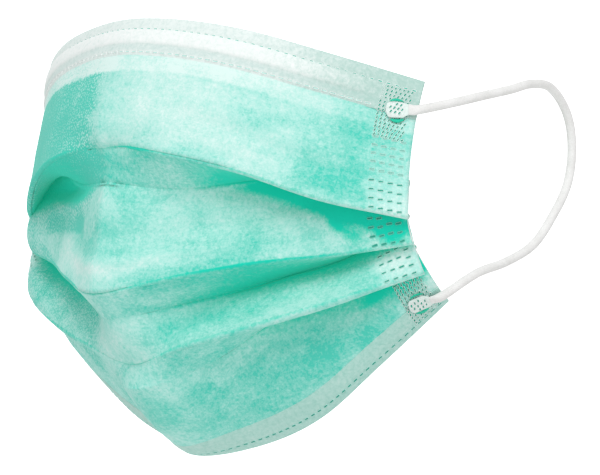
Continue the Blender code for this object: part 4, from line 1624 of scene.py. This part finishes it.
@dataclass(frozen=True)
class Studio:
    """White backdrop, pale floor, soft lights, and the camera at the photograph's place."""

    azimuth: float = 46.24
    elevation: float = -1.43
    distance: float = 0.996
    lens: float = 216.06
    frame_width: int = 600
    origin_off_centre: tuple[float, float] = (-60.54, -5.27)  # px right of and below the picture's centre

    def back(self) -> Vector:
        """Unit direction from the origin to the camera."""
        a, e = math.radians(self.azimuth), math.radians(self.elevation)
        return Vector((math.sin(a) * math.cos(e), -math.cos(a) * math.cos(e), math.sin(e)))

    def camera(self) -> bpy.types.Object:
        """Makes the camera, which looks a little past the origin, as the photograph does."""
        data = bpy.data.cameras.new("camera")
        data.lens, data.sensor_width, data.sensor_fit = self.lens, 36.0, "HORIZONTAL"
        data.clip_start, data.clip_end = 0.05, 20.0
        made = bpy.data.objects.new("camera", data)
        bpy.context.scene.collection.objects.link(made)
        back = self.back()
        right = Vector((math.cos(math.radians(self.azimuth)), math.sin(math.radians(self.azimuth)), 0.0))
        up = back.cross(right)
        pixels = self.lens / 36.0 * self.frame_width
        off_right, off_down = self.origin_off_centre
        ahead = (-back - right * (off_right / pixels) + up * (off_down / pixels)).normalized()
        made.location = back * self.distance
        side = ahead.cross(up).normalized()
        true_up = side.cross(ahead)
        turn = Matrix((side, true_up, -ahead)).transposed()
        made.rotation_mode = "QUATERNION"
        made.rotation_quaternion = turn.to_quaternion()
        bpy.context.scene.camera = made
        return made

    def lamp(self, name: str, azimuth: float, elevation: float, distance: float, size: float, power: float) -> None:
        """Adds a square soft light that points at the mask.

        Args:
            name: The light's name.
            azimuth: Its direction from the mask, in the camera's own sense.
            elevation: Above the horizon, in degrees.
            distance: From the mask, in metres.
            size: Side of the square, in metres.
            power: In watts.
        """
        data = bpy.data.lights.new(name, "AREA")
        data.shape, data.size, data.energy = "SQUARE", size, power
        made = bpy.data.objects.new(name, data)
        bpy.context.scene.collection.objects.link(made)
        a, e = math.radians(azimuth), math.radians(elevation)
        back = Vector((math.sin(a) * math.cos(e), -math.cos(a) * math.cos(e), math.sin(e)))
        made.location = back * distance
        made.rotation_mode = "QUATERNION"
        made.rotation_quaternion = (-back).to_track_quat("-Z", "Y")

    def slab(self, name: str, corners: Sequence[tuple[float, float, float]], colour: str, glow: float) -> None:
        """Adds a flat stage surface through its corners."""
        mesh = bpy.data.meshes.new(name)
        mesh.from_pydata(list(corners), [], [tuple(range(len(corners)))])
        surface = bpy.data.materials.new(name)
        surface.use_nodes = True
        shader = surface.node_tree.nodes["Principled BSDF"]
        shader.inputs["Base Color"].default_value = linear(colour)
        shader.inputs["Roughness"].default_value = 0.9
        shader.inputs["Emission Color"].default_value = (1.0, 1.0, 1.0, 1.0)
        shader.inputs["Emission Strength"].default_value = glow
        mesh.materials.append(surface)
        made = bpy.data.objects.new(name, mesh)
        bpy.context.scene.collection.objects.link(made)

    def build(self) -> None:
        """Sets the stage, the lights and the world."""
        scene = bpy.context.scene
        scene.view_settings.view_transform = "Standard"
        world = bpy.data.worlds.new("studio")
        scene.world = world
        world.use_nodes = True
        background = world.node_tree.nodes["Background"]
        background.inputs["Color"].default_value = (1.0, 1.0, 1.0, 1.0)
        background.inputs["Strength"].default_value = 0.64
        back = self.back()
        flat = Vector((back.x, back.y, 0.0)).normalized()
        side = Vector((-flat.y, flat.x, 0.0))
        far = flat * -2.4
        low, high, half = -0.6, 2.2, 1.6
        self.slab(
            "backdrop",
            [tuple(far + side * s * half + Vector((0, 0, z))) for s, z in ((-1, low), (1, low), (1, high), (-1, high))],
            "#F4F4F4",
            0.9,
        )
        floor = [(math.cos(math.tau * i / 64) * 1.1, math.sin(math.tau * i / 64) * 1.1, -0.30) for i in range(64)]
        self.slab("floor", floor, "#F2F2F1", 0.0)
        self.lamp("key", 38.0, 46.0, 1.5, 0.8, 9.6)
        self.lamp("fill", 80.0, 5.0, 1.6, 1.0, 1.6)


# Front leg of each hem: distance from the edge and lift of its inner face off the cloth's middle, in mm.
# The welded lines lie lowest, and the top hem stands off over the nose strip between them.
TOP_HEM_FRONT = (
    (0.6, 0.60),
    (1.3, 0.68),
    (2.2, 0.64),
    (2.7, 0.56),
    (2.9, 0.54),
    (3.15, 0.70),
    (3.5, 1.12),
    (4.1, 1.22),
    (5.3, 1.26),
    (6.5, 1.22),
    (6.95, 1.08),
    (7.3, 0.80),
    (7.9, 0.68),
    (8.8, 0.64),
    (9.4, 0.52),
    (9.7, 0.42),
    (10.0, 0.38),
    (10.35, 0.24),
    (10.6, 0.12),
)
BOTTOM_HEM_FRONT = (
    (0.5, 0.60),
    (1.0, 0.66),
    (1.5, 0.60),
    (1.9, 0.54),
    (2.3, 0.60),
    (3.2, 0.66),
    (4.4, 0.60),
    (5.6, 0.52),
    (6.6, 0.40),
    (7.1, 0.30),
    (7.3, 0.18),
)


def main() -> None:
    """Builds every piece in order and reports it."""
    logging.basicConfig(level=logging.INFO, format="%(message)s")
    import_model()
    studio = Studio()
    studio.camera()
    studio.build()
    finishes = Finishes()
    form = WornForm()
    cloth = WornCloth(form)
    pieces = PleatedBody(cloth, finishes).build()
    top_cloth, bottom_cloth = HemmedEdge(form, Edge.TOP), HemmedEdge(form, Edge.BOTTOM)
    top = Hem("top_hem", "top_band", "white_nonwoven", top_cloth, TOP_HEM_FRONT, (2.9, 9.7))
    bottom = Hem("bottom_hem", "bottom_band", "pale_green_nonwoven", bottom_cloth, BOTTOM_HEM_FRONT, (1.9,))
    pieces += [top.build(finishes.white), bottom.build(finishes.pale)]
    pieces.append(NoseStrip(top_cloth).build(finishes))
    stamps = WeldStamps()
    lattice = WeldStamps(film=(0.90 * MM, 0.46 * MM), rim=0.17 * MM)
    lines = ((2.9, (0.75, 0.95, 0.9), finishes.seam_film), (9.7, (1.10, 0.85, 1.5), finishes.mint_rim))
    for number, (line, size, film) in enumerate(lines, 1):
        guides = top.weld_guides(line, (-3.92, 3.92) if number == 1 else (-3.5, 3.5))
        pieces.append(
            stamps.lay(f"top_weld_line_{number}", guides, film, finishes.white_rim, size=size)
        )
    guides = bottom.weld_guides(1.9, (-3.9, 3.9))
    pieces.append(
        stamps.lay("bottom_weld_line", guides, finishes.green_film, finishes.mint_rim, size=(0.95, 1.0, 0.8))
    )
    for side in Side:
        pieces.append(SideSeam(cloth, side).build(stamps, finishes.green_film, finishes.mint_rim))
        # Painted shade: the seam on the panel under the first pleat lies in that pleat's shade, so its rims take the
        # shaded rim colour.
        deep = SideSeam(cloth, side, shown=((1, 0.10, 0.97),), name="deep_seam_welds")
        pieces.append(deep.build(stamps, finishes.green_film, finishes.green_rim))
        faint = SideSeam(cloth, side, shown=((0, 0.30, 0.515),), name="faint_seam_welds")
        pieces.append(faint.build(stamps, finishes.faint_film, finishes.mint_rim))
        loop = EarLoop(
            side, LoopSeat(top_cloth, 3.79, 9.6 * MM, 8.3 * MM), LoopSeat(bottom_cloth, 3.72, 7.1 * MM, 5.2 * MM), form
        )
        pieces += loop.build(finishes)
        pieces.append(LatticeWeld(top_cloth, side, (3.6, 18.2), 10.6, loop, loop.upper).build(lattice, finishes))
        pieces.append(LatticeWeld(bottom_cloth, side, (2.6, 14.2), 7.3, loop, loop.lower, 0.74).build(lattice, finishes))
    stamps.clear_away()
    lattice.clear_away()
    for piece in pieces:
        LOG.info("%s: %d faces", piece.name, len(piece.data.polygons))


if __name__ == "__main__":
    main()
